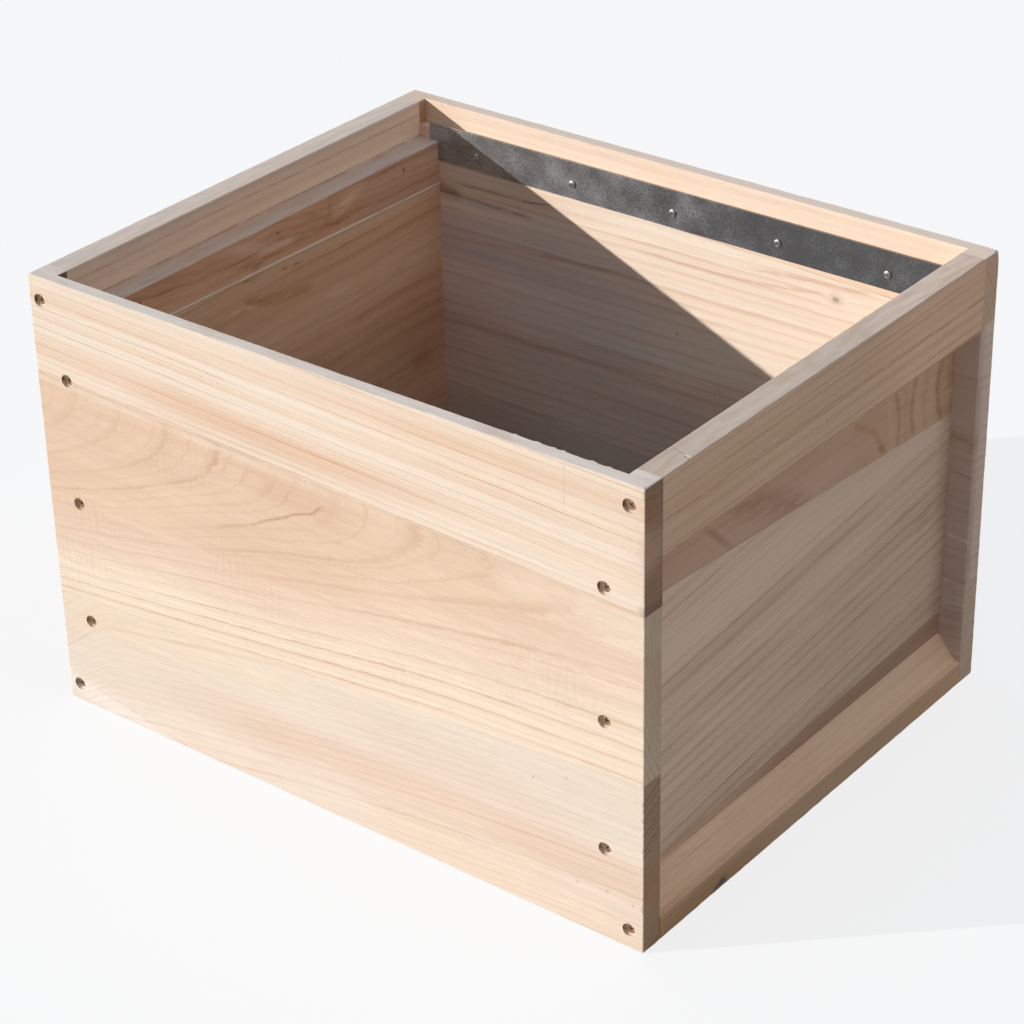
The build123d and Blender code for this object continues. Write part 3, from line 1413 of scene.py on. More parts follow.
@dataclass
class Studio:
    """Pale floor, key, even fill, a cool panel overhead, a warm card to the right and the camera."""

    azimuth: float = math.radians(38.41)
    elevation: float = math.radians(29.483)
    roll: float = math.radians(-1.224)
    distance: float = 2.2896
    aim_right: float = -0.00482
    aim_up: float = -0.02370
    lens_mm: float = 104.70
    sensor_mm: float = 36.0
    clip_end: float = 100.0
    key_travel: Point = (1.05, 1.0, -0.444)
    key_strength: float = 3.75
    key_angle: float = math.radians(0.6)
    key_colour: Colour = (1.0, 0.975, 0.94)
    fill_strength: float = 0.215
    fill_colour: Colour = (0.78, 0.91, 1.0)
    card_watts: float = 5.9
    card_colour: Colour = (1.0, 0.68, 0.48)
    card_side: float = 1.4
    card_place: Point = (2.4, 0.25, 1.45)
    sky_watts: float = 31.5
    sky_colour: Colour = (0.42, 0.64, 1.0)
    sky_side: float = 4.0
    sky_place: Point = (0.0, 0.0, 3.2)
    floor_half: float = 15.0
    floor_shown: Colour = (0.95, 0.95, 0.95)
    floor_bounce: Colour = (0.84, 0.76, 0.68)
    floor_inside: Colour = (0.03, 0.03, 0.03)
    inside: Point = (0.26, 0.215, 1.0)
    floor_white: float = 0.80

    white = (1.0, 1.0, 1.0)

    def camera(self) -> None:
        """Adds the camera at the photograph's view."""
        middle = (Vector(CAD_BOX[0]) + Vector(CAD_BOX[1])) / 2
        back = Vector((math.sin(self.azimuth) * math.cos(self.elevation),
                       -math.cos(self.azimuth) * math.cos(self.elevation), math.sin(self.elevation)))
        level = Vector((math.cos(self.azimuth), math.sin(self.azimuth), 0.0))
        right = math.cos(self.roll) * level + math.sin(self.roll) * back.cross(level)
        up = back.cross(right)
        data = bpy.data.cameras.new("view")
        data.sensor_width, data.lens, data.clip_end = self.sensor_mm, self.lens_mm, self.clip_end
        camera = add_object("view", data)
        place = middle + right * self.aim_right + up * self.aim_up + back * self.distance
        camera.matrix_world = Matrix.Translation(place) @ Matrix((right, up, back)).transposed().to_4x4()
        bpy.context.scene.camera = camera

    def seen(self, graph: Graph) -> Wire:
        """Tells camera, mirror and glass rays from the light that falls on the box.

        Args:
            graph: The graph of the floor or of the world.

        Returns:
            One where a ray only shows the background.
        """
        path = graph.node("LightPath").outputs
        mirrored = Wire(path["Is Glossy Ray"]).to("MAXIMUM", Wire(path["Is Transmission Ray"]))
        return Wire(path["Is Camera Ray"]).to("MAXIMUM", mirrored)

    def lamp(self, name: str, kind: str, strength: float, colour: Colour, travel: Vector) -> Object:
        """Adds a lamp.

        Args:
            name: Its name.
            kind: Blender's kind of lamp.
            strength: Its strength, in watts for a panel.
            colour: Its colour.
            travel: Which way its light goes.

        Returns:
            The lamp.
        """
        data = bpy.data.lights.new(name, kind)
        data.energy, data.color = strength, colour
        lamp = add_object(name, data)
        lamp.rotation_mode = "QUATERNION"
        lamp.rotation_quaternion = travel.to_track_quat("-Z", "Y")
        return lamp

    def lights(self) -> None:
        """Adds the key lamp, the two panels, which face the box, and the fill."""
        key = self.lamp("key", "SUN", self.key_strength, self.key_colour, Vector(self.key_travel))
        key.data.angle = self.key_angle
        for name, watts, colour, side, place in (
                ("sky_panel", self.sky_watts, self.sky_colour, self.sky_side, self.sky_place),
                ("warm_card", self.card_watts, self.card_colour, self.card_side, self.card_place)):
            panel = self.lamp(name, "AREA", watts, colour, -Vector(place))
            panel.data.size, panel.location, panel.visible_camera = side, place, False
        world = bpy.data.worlds.new("studio")
        world.use_nodes = True
        bpy.context.scene.world = world
        graph = Graph(world.node_tree)
        fill = world.node_tree.nodes["Background"]
        graph.feed(fill.inputs["Color"], self.fill_colour)
        fill.inputs["Strength"].default_value = self.fill_strength
        white = graph.out("Background", self.white, 1.0)
        mixed = graph.out("MixShader", self.seen(graph), Wire(fill.outputs[0]), white)
        graph.feed(world.node_tree.nodes["World Output"].inputs["Surface"], mixed)

    def floor(self) -> None:
        """Adds the pale floor, which keeps a soft shadow and throws little light up inside the box."""
        shape = bmesh.new()
        bmesh.ops.create_grid(shape, x_segments=1, y_segments=1, size=self.floor_half)
        made, graph, shader = new_material("pale_floor")
        graph.feed(shader.inputs["Base Color"], self.floor_shown)
        shader.inputs["Roughness"].default_value = 1.0
        shader.inputs["Specular IOR Level"].default_value = 0.0
        white = graph.out("Emission", self.white, 1.0)
        shown = graph.out("MixShader", self.floor_white, Wire(shader.outputs[0]), white)
        place = graph.out("TexCoord", which="Object")
        share_x, share_y, _ = graph.split(place.to("ABSOLUTE") / self.inside)
        within = share_x.to("MAXIMUM", share_y).to("LESS_THAN", 1.0)
        open_floor = graph.out("BsdfDiffuse", self.floor_bounce)
        covered = graph.out("BsdfDiffuse", self.floor_inside)
        bounce = graph.out("MixShader", within, open_floor, covered)
        mixed = graph.out("MixShader", self.seen(graph), bounce, shown)
        graph.feed(made.node_tree.nodes["Material Output"].inputs["Surface"], mixed)
        add_mesh("floor", shape, made)

    def build(self) -> None:
        """Sets up the whole studio."""
        self.camera()
        self.lights()
        self.floor()
        bpy.context.scene.view_settings.view_transform = "Standard"


def drawn(face: float, *rows: tuple) -> tuple[Stroke, ...]:
    """Draws marks on one face of a board.

    Args:
        face: The face's place across the board.
        rows: For each mark its colour, depth of tone, width, raggedness and fade, as in Stroke, and then
            its points, along the board and up.

    Returns:
        The marks.
    """
    strokes = []
    for colour, depth, width, ragged, fade, *points in rows:
        places = tuple((along, face, up) for along, up in points)
        strokes.append(Stroke(colour, depth, width, ragged, fade, places))
    return tuple(strokes)


def front_wall() -> LongWall:
    """Chooses the front wall's boards.

    Returns:
        The wall: lined upper and lower boards, and a middle board with tongues of grain.
    """
    face, end = -0.225, 0.280
    brown, ink, umber = (0.50, 0.28, 0.14), (0.30, 0.18, 0.10), (0.11, 0.075, 0.045)
    peach, cream = (0.965, 0.905, 0.87), (1.01, 1.035, 1.06)
    upper_seam = Seam(0.282, -0.0286, 0.45, 0.0065, (0.80, 0.665, 0.55), 0.55, 0.02)
    lower_seam = Seam(0.1195, 0.0768, 0.06, band_colour=(0.82, 0.70, 0.575), band_depth=0.25)
    pencil = drawn(face, ((0.42, 0.32, 0.25), 0.30, 0.0010, 0.0004, FADE_IN, (0.2150, 0.3255),
                          (0.2153, 0.3690)))
    end_foot = Stroke((0.09, 0.055, 0.04), 0.6, 0.0070, 0.002, FADED,
                      ((end, -0.245, 0.279), (end, -0.185, 0.276)))
    vein = ((-0.110, 0.211), (-0.072, 0.227), (-0.045, 0.240), (-0.023, 0.251), (-0.008, 0.257),
            (0.004, 0.268))
    mineral = drawn(
        face,
        ((0.80, 0.63, 0.485), 0.85, 0.016, 0.003, FADED, (0.150, 0.260), (0.200, 0.267), (0.250, 0.272)),
        (brown, 0.55, 0.0022, 0.004, FADED, *vein),
        (ink, 0.45, 0.0012, 0.004, FADED, *vein[1:]),
        (brown, 0.60, 0.0016, 0.003, FADED, (-0.010, 0.258), (0.010, 0.265)))
    specks = drawn(face, *(
        (ink, 0.7, 0.0011, 0.0006, BLUNT, (x, z), (x + 0.0006, z + 0.0008))
        for x, z in ((0.185, 0.110), (0.214, 0.121), (0.223, 0.037), (0.249, 0.040), (0.271, 0.037))))
    wedge = drawn(face, ((0.55, 0.35, 0.22), 0.4, 0.0010, 0.002, FADE_IN, (-0.262, 0.020), (-0.210, 0.011),
                         (-0.155, 0.001)))
    end_lines = tuple(
        Stroke(umber, 0.70, width, 0.003, FADED, ((end, -0.240, z), (end, -0.190, z + 0.027)))
        for z, width in ((0.073, 0.0016), (0.079, 0.0022), (0.087, 0.0014), (0.092, 0.0019), (0.099, 0.0013),
                         (0.104, 0.0021), (0.112, 0.0015), (0.118, 0.0024)))
    upper = TimberFinish(
        Figure(-0.215, -0.20, 0.0, -0.028, 0.0078, unevenness=0.9, waver=0.0022, waver_pitch=4.0,
               fine_lines=0.7, seed=3.1),
        Tones((0.83, 0.715, 0.595), (0.60, 0.385, 0.235), (0.80, 0.62, 0.48), 0.90, 0.45, 0.25,
              end_tint=(0.29, 0.208, 0.142), end_lines=0.8),
        (Knot((0.283, face, 0.322), (0.010, 0.03, 0.022), 0.0, (0.62, 0.42, 0.33), 0.35),),
        (*pencil, end_foot), (upper_seam,),
        (Zone(0.354, 0.0, 0.006, peach), Zone(0.303, -0.03, 0.009, peach, right=0.10),
         Zone(0.322, -0.03, 0.005, cream), Zone(0.341, -0.01, 0.005, cream),
         Zone(0.298, -0.0286, 0.013, (0.95, 0.89, 0.85), -0.15, 0.05),
         Zone(0.345, 0.0, 0.018, (0.98, 0.94, 0.905), left=0.06)),
        (1.0, 0.845, 0.715), 0.66)
    middle = TimberFinish(
        Figure(0.030, 0.2771, 0.1342, -0.048, 0.0054, 0.25037, 0.25, drift_limit=0.068, fine_lines=0.55,
               line_start=0.68, seed=7.3),
        Tones((0.765, 0.575, 0.428), (0.52, 0.315, 0.185), (0.71, 0.505, 0.368), 0.60, 0.30, 0.50, 0.045,
              (0.67, 0.685, 0.66), sap=(0.835, 0.70, 0.565), sap_start=0.254, sap_end=0.286),
        (Knot((-0.100, face, 0.214), (0.030, 0.06, 0.008), 0.0017),), mineral, (upper_seam, lower_seam),
        (Zone(0.178, 0.13, 0.035, (1.02, 1.05, 1.08), right=-0.10),
         Zone(0.262, -0.03, 0.013, (0.93, 0.885, 0.86), -0.08, 0.02),
         Zone(0.258, 0.0, 0.017, (1.04, 1.11, 1.16), left=0.22)))
    lower = TimberFinish(
        Figure(-0.665, 0.51, 0.0, 0.20, 0.0046, unevenness=0.9, waver=0.0016, drift_limit=0.118,
               fine_lines=0.6, seed=5.7),
        Tones((0.77, 0.67, 0.575), (0.60, 0.41, 0.28), (0.735, 0.592, 0.478), 0.65, 0.40, 0.35,
              end_tint=(0.46, 0.365, 0.26)),
        (Knot((-0.295, face, 0.050), (0.014, 0.06, 0.030), -0.018),),
        (*specks, *wedge, *end_lines), (lower_seam,),
        (Zone(0.054, 0.01, 0.016, (0.975, 0.915, 0.88), left=-0.10), Zone(0.014, 0.02, 0.012, cream),
         Zone(0.018, 0.0, 0.016, (0.98, 0.93, 0.885), left=0.04),
         Zone(0.110, 0.0768, 0.022, (1.03, 1.01, 0.96), right=-0.02),
         Zone(-0.0346, -0.178, 0.010, (1.05, 1.09, 1.15), right=-0.14)))
    burrs = (Nick((x, -0.2135, 0.370), 0.0016, -2.3) for x in (0.168, 0.186, 0.199, 0.207, 0.231, 0.244))
    nicks = (Nick((end, face, 0.370), 0.0040, 2.2), Nick((end, face, 0.037), 0.0030, 1.8), *burrs)
    return LongWall(Side.FRONT, {"upper": upper, "middle": middle, "lower": lower}, nicks)


def back_wall() -> LongWall:
    """Chooses the back wall's boards.

    Returns:
        The wall: wavy grain, with one soft knot in the middle board, and painted shade on its lower left, on
            its rabbet ledge and in the right end's recess.
    """
    face = 0.205
    ink, rust, brown, dusk = (0.22, 0.13, 0.09), (0.58, 0.34, 0.20), (0.36, 0.20, 0.14), (0.34, 0.20, 0.14)
    upper_seam = Seam(0.3225, -0.0304, 0.45, band_depth=0.20)
    lower_seam = Seam(0.106, -0.05, 0.35, band_depth=0.20)
    knots = (Knot((0.153, face, 0.302), (0.0035, 0.03, 0.0026), 0.004, (0.40, 0.27, 0.18), 0.7),
             Knot((0.005, face, 0.230), (0.0006, 0.03, 0.0006), 0.0004, (0.10, 0.06, 0.04), 0.9),
             # Not a knot: a long soft spot of painted shade down the wall's face in the right end's recess.
             Knot((0.270, face, 0.175), (0.020, 0.010, 0.40), 0.0, (0.40, 0.29, 0.25), 0.62))
    marks = drawn(
        face,
        (rust, 0.5, 0.0024, 0.004, FADED, (-0.050, 0.294), (0.040, 0.294), (0.100, 0.298), (0.150, 0.304)),
        (rust, 0.5, 0.0024, 0.004, FADED, (0.060, 0.306), (0.150, 0.313), (0.190, 0.315)),
        (rust, 0.45, 0.0030, 0.005, FADED, (-0.235, 0.256), (-0.100, 0.265), (-0.023, 0.272)),
        (rust, 0.45, 0.0030, 0.005, FADED, (-0.234, 0.181), (-0.133, 0.179), (-0.003, 0.184)),
        ((0.34, 0.20, 0.12), 0.75, 0.0085, 0.003, FADE_OUT, (-0.239, 0.2990), (-0.212, 0.2965)),
        (ink, 0.60, 0.0026, 0.002, FADE_OUT, (-0.239, 0.2955), (-0.195, 0.2950), (-0.130, 0.2942)),
        (ink, 0.70, 0.0014, 0.003, FADED, (-0.225, 0.3065), (-0.192, 0.3065), (-0.165, 0.3070),
         (-0.140, 0.3085), (-0.116, 0.3120)),
        (rust, 0.60, 0.0016, 0.003, FADED, (0.060, 0.2165), (0.095, 0.2165)),
        (rust, 0.45, 0.0020, 0.002, FADED, (0.047, 0.195), (0.047, 0.184)))
    # Painted shade, with some paler figure: bands on the wall's face in the right end's recess.
    corner = drawn(face, *(
        (colour, depth, width, 0.003, BLUNT, (0.262, z), (0.284, z - 0.002)) for z, width, colour, depth in (
            (0.290, 0.030, (0.62, 0.48, 0.42), 0.5), (0.218, 0.011, brown, 0.65), (0.188, 0.0024, brown, 0.6),
            (0.164, 0.020, (0.50, 0.34, 0.27), 0.5), (0.131, 0.0016, (0.95, 0.86, 0.79), 0.5),
            (0.087, 0.012, dusk, 0.65))))
    # Painted shade low in the recess's corner.
    damp = drawn(face, ((0.42, 0.29, 0.24), 0.6, 0.020, 0.004, BLUNT, (0.270, 0.045), (0.270, 0.120)))
    upper = TimberFinish(
        Figure(-0.045, 0.19, 0.0, 0.005, 0.0040, waver=0.0016, waver_pitch=7.0, fine_lines=0.45,
               line_start=0.45, seed=11.9),
        Tones((0.99, 0.80, 0.64), (0.66, 0.39, 0.235), (0.95, 0.72, 0.545), 0.70, 0.65, 0.45),
        # Painted shade: the zone at 0.350 darkens the rabbet's ledge in the back left corner.
        seams=(upper_seam,), zones=(Zone(0.350, 0.0, 0.020, (0.88, 0.70, 0.55), right=-0.252),),
        weathered=(0.95, 0.75, 0.61), weather_share=0.62)
    middle = TimberFinish(
        Figure(0.16, -0.50, 0.0, 0.012, 0.0088, 0.0042, waver=0.0034, waver_pitch=6.0, fine_lines=0.45,
               line_start=0.20, seed=13.2),
        Tones((1.0, 0.865, 0.715), (0.66, 0.40, 0.25), (0.99, 0.79, 0.63), 0.54, 0.95, 0.30,
              end_tint=(0.79, 0.775, 0.78), end_lines=0.0),
        knots, (*marks, *corner), (upper_seam, lower_seam),
        (Zone(0.310, 0.0, 0.014, (0.96, 0.88, 0.83), right=-0.11),
         Zone(0.205, 0.0, 0.007, (1.0, 1.05, 1.08), -0.10, 0.05),
         # Painted shade: the zones at 0.262 and 0.215 darken the wall's left, where the end casts its shadow,
         # and the zone at 0.130 darkens its lower part.
         Zone(0.262, 0.0, 0.024, (0.87, 0.88, 0.93), right=-0.08),
         Zone(0.215, 0.0, 0.045, (0.90, 0.915, 0.985), right=-0.03),
         Zone(0.130, 0.0, 0.060, (0.80, 0.80, 0.82), right=0.20)))
    lower = TimberFinish(
        Figure(0.30, -0.20, 0.0, 0.02, 0.0075, line_start=0.40, seed=17.4),
        Tones((0.70, 0.60, 0.51), (0.50, 0.34, 0.23), (0.64, 0.50, 0.41), 0.50, 0.60, 0.40,
              end_tint=(0.99, 0.91, 0.82)), strokes=damp, seams=(lower_seam,))
    nicks = (Nick((0.280, 0.225, 0.370), 0.0045, 2.4),)
    return LongWall(Side.BACK, {"upper": upper, "middle": middle, "lower": lower}, nicks)


def left_end() -> BoxEnd:
    """Chooses the left end's boards and rails.

    Returns:
        The end: wild grain above and a slow wave below it.
    """
    face, rail = 0.239, 0.259
    red, pale, ink = (0.46, 0.19, 0.08), (0.98, 0.74, 0.54), (0.26, 0.085, 0.025)
    upper_seam = Seam(0.30375, -0.01585, 0.45, -0.0031, (1.0, 0.86, 0.74), 1.0)
    lower_seam = Seam(0.116, -0.0585, 0.35, band_colour=(0.70, 0.54, 0.40), band_depth=0.25)
    curl = drawn(
        face,
        (pale, 0.75, 0.0085, 0.005, FADED, (0.062, 0.319), (0.114, 0.337)),
        (pale, 0.75, 0.0070, 0.005, FADED, (-0.060, 0.336), (-0.007, 0.321), (0.031, 0.316)),
        (red, 0.6, 0.0040, 0.006, FADED, (-0.060, 0.3165), (0.000, 0.3140), (0.066, 0.3155), (0.120, 0.3165)),
        (ink, 0.55, 0.0022, 0.003, FADED, (0.056, 0.3145), (0.096, 0.3122)),
        (ink, 0.5, 0.0042, 0.007, FADED, (-0.033, 0.3105), (-0.013, 0.3120)),
        (red, 0.35, 0.0050, 0.006, FADED, (0.030, 0.336), (0.062, 0.322), (0.070, 0.340)))
    streaks = drawn(
        face,
        ((0.50, 0.23, 0.085), 0.62, 0.0070, 0.003, FADED, (-0.046, 0.288), (-0.020, 0.280), (0.012, 0.272),
         (0.046, 0.268)),
        (pale, 0.75, 0.0024, 0.003, FADED, (-0.060, 0.281), (-0.042, 0.2815), (-0.024, 0.275)),
        (pale, 0.40, 0.0110, 0.006, FADED, (0.050, 0.252), (0.093, 0.255)),
        (red, 0.35, 0.0060, 0.006, FADED, (0.072, 0.219), (0.125, 0.221), (0.179, 0.220)),
        (red, 0.25, 0.0050, 0.006, FADED, (0.040, 0.243), (0.100, 0.244), (0.170, 0.243)),
        (red, 0.45, 0.0160, 0.012, FADED, (0.150, 0.150), (0.200, 0.150)))
    dashes = drawn(face, *(
        ((0.42, 0.175, 0.07), 0.85, 0.0019, 0.003, (0.5, 0.5), (y, z), (y + run, z - 0.0003))
        for y, z, run in ((-0.040, 0.3024, 0.007), (-0.032, 0.3016, 0.010), (0.004, 0.2975, 0.008),
                          (0.018, 0.2962, 0.010))))
    rail_lines = drawn(
        rail,
        (red, 0.40, 0.0016, 0.003, BLUNT, (-0.205, 0.3590), (0.000, 0.3600), (0.205, 0.3585)),
        (ink, 0.55, 0.0018, 0.001, BLUNT, (-0.205, 0.3405), (0.205, 0.3405)))
    upper = TimberFinish(
        Figure(0.205, 0.36, 0.05, -0.01, 0.0060, waver=0.0050, waver_pitch=16.0, fine_lines=0.6,
               line_start=0.40, seed=19.6),
        Tones((0.92, 0.59, 0.385), (0.46, 0.225, 0.125), (0.75, 0.42, 0.255), 0.70, 0.65, 0.60),
        strokes=curl, seams=(upper_seam,), zones=(Zone(0.322, 0.0, 0.030, (0.95, 1.02, 1.10), left=0.10),),
        weathered=(0.75, 0.58, 0.435), weather_share=0.75, weather_from=0.335)
    middle = TimberFinish(
        Figure(0.10, -0.10, 0.0, 0.02, 0.0130, waver=0.0062, waver_pitch=7.0, fine_lines=0.45,
               line_start=0.30, seed=23.8),
        Tones((0.91, 0.655, 0.44), (0.52, 0.28, 0.15), (0.77, 0.48, 0.30), 0.55, 0.85, 0.45),
        strokes=(*streaks, *dashes), seams=(upper_seam, lower_seam),
        zones=(Zone(0.150, 0.0, 0.060, (0.81, 0.75, 0.73)),))
    lower = TimberFinish(
        Figure(0.10, -0.20, 0.0, 0.03, 0.0070, line_start=0.35, seed=29.1),
        Tones((0.68, 0.46, 0.31), (0.46, 0.26, 0.15), (0.60, 0.38, 0.25), 0.42, 0.40, 0.45),
        seams=(lower_seam,))
    top = TimberFinish(
        Figure(0.40, 0.05, 0.01, 0.0, 0.0160, fine_lines=0.2, line_start=0.35, seed=31.5),
        Tones((1.0, 0.80, 0.625), (0.64, 0.41, 0.25), (0.97, 0.72, 0.54), 0.30, 0.45, 0.40),
        strokes=rail_lines, weathered=(0.715, 0.59, 0.50), weather_share=0.66)
    bottom = TimberFinish(
        Figure(0.20, -0.08, 0.02, 0.0, 0.0060, seed=37.7),
        Tones((0.76, 0.59, 0.43), (0.52, 0.34, 0.20), (0.68, 0.48, 0.34), 0.50, 0.40, 0.45))
    panel = {"upper": upper, "middle": middle, "lower": lower}
    return BoxEnd(Side.LEFT, panel, {"top": top, "bottom": bottom})


def right_end() -> BoxEnd:
    """Chooses the right end's boards and rails.

    Returns:
        The end: arched grain in the upper board and straight grain that rises to the back below it.
    """
    face, outer, rim = -0.259, -0.280, 0.370
    pink, amber = (0.34, 0.185, 0.125), (0.44, 0.225, 0.10)
    bark, pit = (0.33, 0.16, 0.085), (0.05, 0.03, 0.015)
    rosy, shaded, ray = (0.92, 0.70, 0.57), (0.47, 0.30, 0.215), (0.66, 0.50, 0.36)
    bevel_slope, bevel_foot, bevel_rise = 1.05, -0.301, 0.0012
    upper_seam, lower_seam = Seam(0.2505, -0.0707, 0.45), Seam(0.0525, 0.0366, 0.45)
    swoosh = drawn(
        face,
        (pink, 0.70, 0.016, 0.006, (0.5, 0.2), (-0.096, 0.290), (-0.062, 0.279), (-0.030, 0.264),
         (-0.004, 0.250)),
        (pink, 0.75, 0.0040, 0.004, (0.3, 0.3), (-0.125, 0.288), (-0.108, 0.272), (-0.092, 0.258)),
        (bark, 0.45, 0.0030, 0.004, FADED, (-0.052, 0.279), (-0.040, 0.273)),
        (amber, 0.7, 0.0050, 0.004, BLUNT, (0.066, 0.284), (0.082, 0.275), (0.095, 0.2646), (0.107, 0.245)),
        (bark, 0.6, 0.0030, 0.003, FADED, (0.098, 0.256), (0.107, 0.245)))
    rays = drawn(face, *((ray, 0.40, 0.0080, 0.004, BLUNT, *points) for points in (
        ((0.110, 0.289), (0.1165, 0.266), (0.117, 0.245)), ((0.157, 0.289), (0.153, 0.268), (0.157, 0.243)),
        ((0.174, 0.289), (0.171, 0.268), (0.175, 0.242)))))
    arches = drawn(
        face,
        (bark, 0.60, 0.0034, 0.004, BLUNT, (0.119, 0.2905), (0.124, 0.278), (0.1275, 0.262), (0.1265, 0.245)),
        (bark, 0.18, 0.0024, 0.004, BLUNT, (0.134, 0.289), (0.1365, 0.268), (0.136, 0.244)),
        (bark, 0.60, 0.0040, 0.004, BLUNT, (0.149, 0.288), (0.1445, 0.274), (0.144, 0.258), (0.149, 0.2435)),
        (bark, 0.15, 0.0030, 0.004, BLUNT, (0.166, 0.288), (0.161, 0.270), (0.165, 0.243)),
        (bark, 0.70, 0.0050, 0.004, BLUNT, (0.186, 0.2875), (0.181, 0.273), (0.184, 0.254), (0.187, 0.241)))
    # Painted shade down the back corner of the recess, on the upper and middle boards.
    corner = drawn(face, ((0.30, 0.20, 0.17), 0.55, 0.024, 0.012, BLUNT, (0.208, 0.050), (0.208, 0.300)))
    plain = drawn(
        face,
        ((0.75, 0.60, 0.465), 0.95, 0.026, 0.006, BLUNT, (-0.180, 0.210), (0.000, 0.226), (0.195, 0.230)),
        ((0.88, 0.74, 0.61), 0.5, 0.0040, 0.003, FADED, (-0.173, 0.130), (0.003, 0.140), (0.042, 0.144)))
    # Torn fibres on the bevel drawn as painted light and shade: rosy lit strips beside shaded ones.
    torn = tuple(
        Stroke(tint, 0.65, width, 0.004, (0.2, 0.8), ((start, bevel_slope * z + bevel_foot, z),
                                                      (end, bevel_slope * z + bevel_foot, z + bevel_rise)))
        for start, end, z, width, tint in (
            (-0.205, -0.060, 0.0275, 0.0016, rosy), (-0.205, -0.020, 0.0305, 0.0022, shaded),
            (-0.190, 0.010, 0.0318, 0.0018, rosy), (-0.150, -0.030, 0.0335, 0.0014, shaded),
            (-0.130, 0.030, 0.0345, 0.0016, rosy), (-0.205, -0.120, 0.0355, 0.0016, shaded),
            (-0.100, 0.060, 0.0365, 0.0013, shaded)))
    tear = drawn(outer, (pit, 0.9, 0.0036, 0.002, FADE_IN, (-0.143, 0.0026), (-0.126, 0.0042)))
    rail_marks = drawn(
        outer,
        (bark, 0.5, 0.0030, 0.003, BLUNT, (-0.205, 0.3370), (0.000, 0.3378), (0.205, 0.3388)),
        # Painted shade: the line at 0.3108 darkens the rail's lower edge, where it meets the panel.
        (bark, 0.7, 0.0018, 0.001, BLUNT, (-0.205, 0.3108), (0.205, 0.3108)),
        (bark, 0.6, 0.0009, 0.0004, BLUNT, (-0.012, 0.350), (-0.012, 0.358)),
        (bark, 0.6, 0.0009, 0.0004, BLUNT, (-0.008, 0.321), (-0.008, 0.329)))
    # A splinter on the rim: a pale sliver of fresh wood with painted shade beside it.
    splinter = tuple(
        Stroke(tint, depth, width, 0.0004, fade, ((*start, rim), (*end, rim)))
        for tint, depth, width, fade, start, end in (
            (bark, 0.6, 0.0008, BLUNT, (-0.1685, -0.2632), (-0.1720, -0.2745)),
            ((0.97, 0.88, 0.78), 0.95, 0.0015, FADE_IN, (-0.1712, -0.2715), (-0.1729, -0.2800)),
            ((0.22, 0.14, 0.10), 0.7, 0.0009, BLUNT, (-0.1735, -0.2740), (-0.1750, -0.2800))))
    upper = TimberFinish(
        Figure(-0.21, 0.100, 0.0, -0.04, 0.0085, waver=0.0030, waver_pitch=8.0, line_start=0.35, seed=41.3),
        Tones((0.56, 0.39, 0.28), (0.34, 0.19, 0.115), (0.49, 0.32, 0.222), 0.25, 0.40, 0.60),
        strokes=(*swoosh, *rays, *arches, *corner), seams=(upper_seam,),
        zones=(Zone(0.265, 0.0, 0.06, (1.15, 1.16, 1.06), left=0.10),
               Zone(0.265, 0.0, 0.06, (1.12, 1.14, 1.15), 0.0, 0.085)))
    middle = TimberFinish(
        Figure(-0.20, -0.60, 0.0, 0.100, 0.0108, -0.0013, 0.7, 0.0014, fine_lines=0.70, line_start=0.32,
               seed=43.9),
        Tones((0.79, 0.63, 0.49), (0.40, 0.27, 0.185), (0.66, 0.495, 0.37), 0.70, 0.70, 0.30),
        (Knot((0.172, face, 0.157), (0.006, 0.02, 0.003), 0.004, (0.45, 0.28, 0.18), 0.3),),
        (*plain, *corner), (upper_seam, lower_seam))
    lower = TimberFinish(
        Figure(-0.20, -0.30, 0.0, 0.05, 0.0060, line_start=0.35, seed=47.2),
        Tones((0.48, 0.32, 0.225), (0.29, 0.17, 0.11), (0.375, 0.23, 0.155), 0.35, 0.40, 0.60),
        seams=(lower_seam,), zones=(Zone(0.030, 0.0, 0.060, (1.45, 1.58, 1.60), right=-0.060),))
    top = TimberFinish(
        Figure(-0.24, -0.30, 0.0, 0.012, 0.0085, unevenness=0.9, fine_lines=0.4, line_start=0.40, seed=53.6),
        Tones((0.675, 0.495, 0.35), (0.38, 0.24, 0.145), (0.585, 0.40, 0.275), 0.62, 0.60, 0.40),
        strokes=(*rail_marks, *splinter), zones=(Zone(0.335, 0.0, 0.050, (1.20, 1.18, 1.18), left=0.07),),
        weathered=(0.78, 0.625, 0.515), weather_share=0.60)
    bottom = TimberFinish(
        Figure(-0.22, -0.12, ring_width=0.0055, line_start=0.40, seed=59.4),
        Tones((1.0, 0.735, 0.50), (0.58, 0.37, 0.215), (0.90, 0.61, 0.395), 0.50, 0.45, 0.50),
        (Knot((-0.1275, outer, 0.0048), (0.0040, 0.02, 0.0026), 0.0030, pit, 0.97),), (*torn, *tear),
        # Painted shade: the zone at 0.004 darkens the foot of the rail's front part, by the floor.
        zones=(Zone(0.004, 0.0, 0.015, (0.80, 0.70, 0.56), right=-0.085),
               Zone(0.006, 0.0, 0.015, (1.18, 1.15, 1.10), left=0.13),
               Zone(0.034, 0.0, 0.014, (0.88, 0.85, 0.82), right=-0.165)),
        # Painted shade: the rail's upright lip is darker than its bevel.
        upright_tint=(0.60, 0.575, 0.54))
    panel = {"upper": upper, "middle": middle, "lower": lower}
    return BoxEnd(Side.RIGHT, panel, {"top": top, "bottom": bottom})


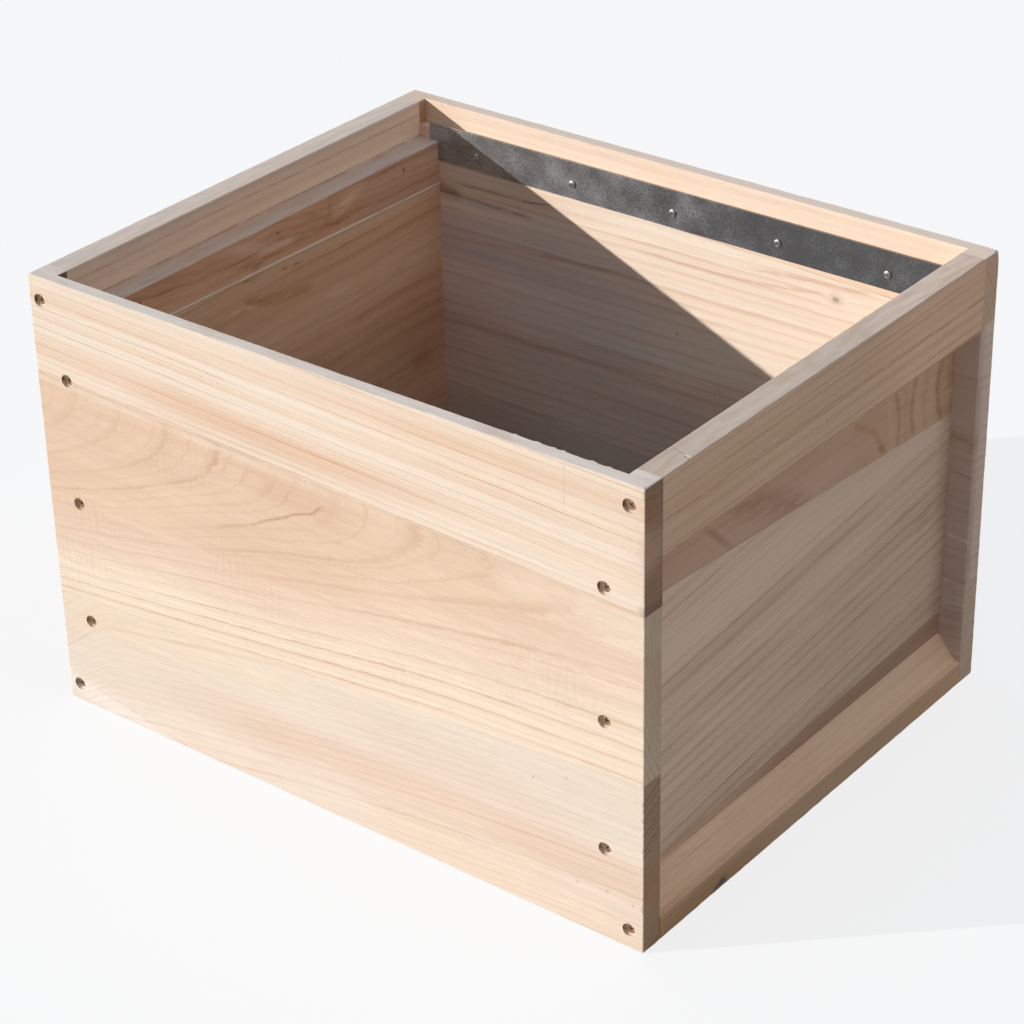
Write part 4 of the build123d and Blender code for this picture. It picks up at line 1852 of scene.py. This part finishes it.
def hardware() -> Hardware:
    """Chooses the metals and the screws' sizes.

    Returns:
        Runners, screws and brads.
    """
    wall_steps = ((0.0040, -0.0003), (0.0020, -0.0024), (0.0020, -0.0380), (0.0003, -0.0440))
    pan_steps = ((0.0030, -0.0004), (0.0028, -0.0008), (0.0015, -0.0008), (0.0015, -0.0090),
                 (0.0003, -0.0130))
    return Hardware(
        # The zinc's pale colour is bluish and shows most at its duller left end: painted sheen, a reflection
        # of the sky.
        MetalFinish("zinc_sheet", (0.192, 0.203, 0.213), (0.57, 0.615, 0.655), 0.46, 0.36, 45.0, 0.0002, 0.85,
                    0.18, 0.43, 1.00),
        MetalFinish("bright_steel", (0.24, 0.24, 0.24), (0.50, 0.50, 0.50), 0.40, 0.50, 700.0),
        MetalFinish("bronzed_steel", (0.26, 0.155, 0.095), (0.60, 0.41, 0.27), 0.34, 0.52, 500.0),
        MetalFinish("dull_steel", (0.19, 0.115, 0.07), (0.36, 0.24, 0.16), 0.50, 0.70, 700.0),
        DrivenScrew(0.0040, wall_steps, 0.0024, 0.0011, 0.0016),
        DrivenScrew(0.0030, pan_steps, 0.0019, 0.0009, 0.0010, 0.0007))


def main() -> None:
    """Builds the box's finishes and the studio."""
    logging.basicConfig(level=logging.INFO, format="%(message)s")
    groups = Groups()
    for assembly in (front_wall(), back_wall(), left_end(), right_end(), hardware()):
        assembly.build(groups)
    Studio().build()


if __name__ == "__main__":
    main()
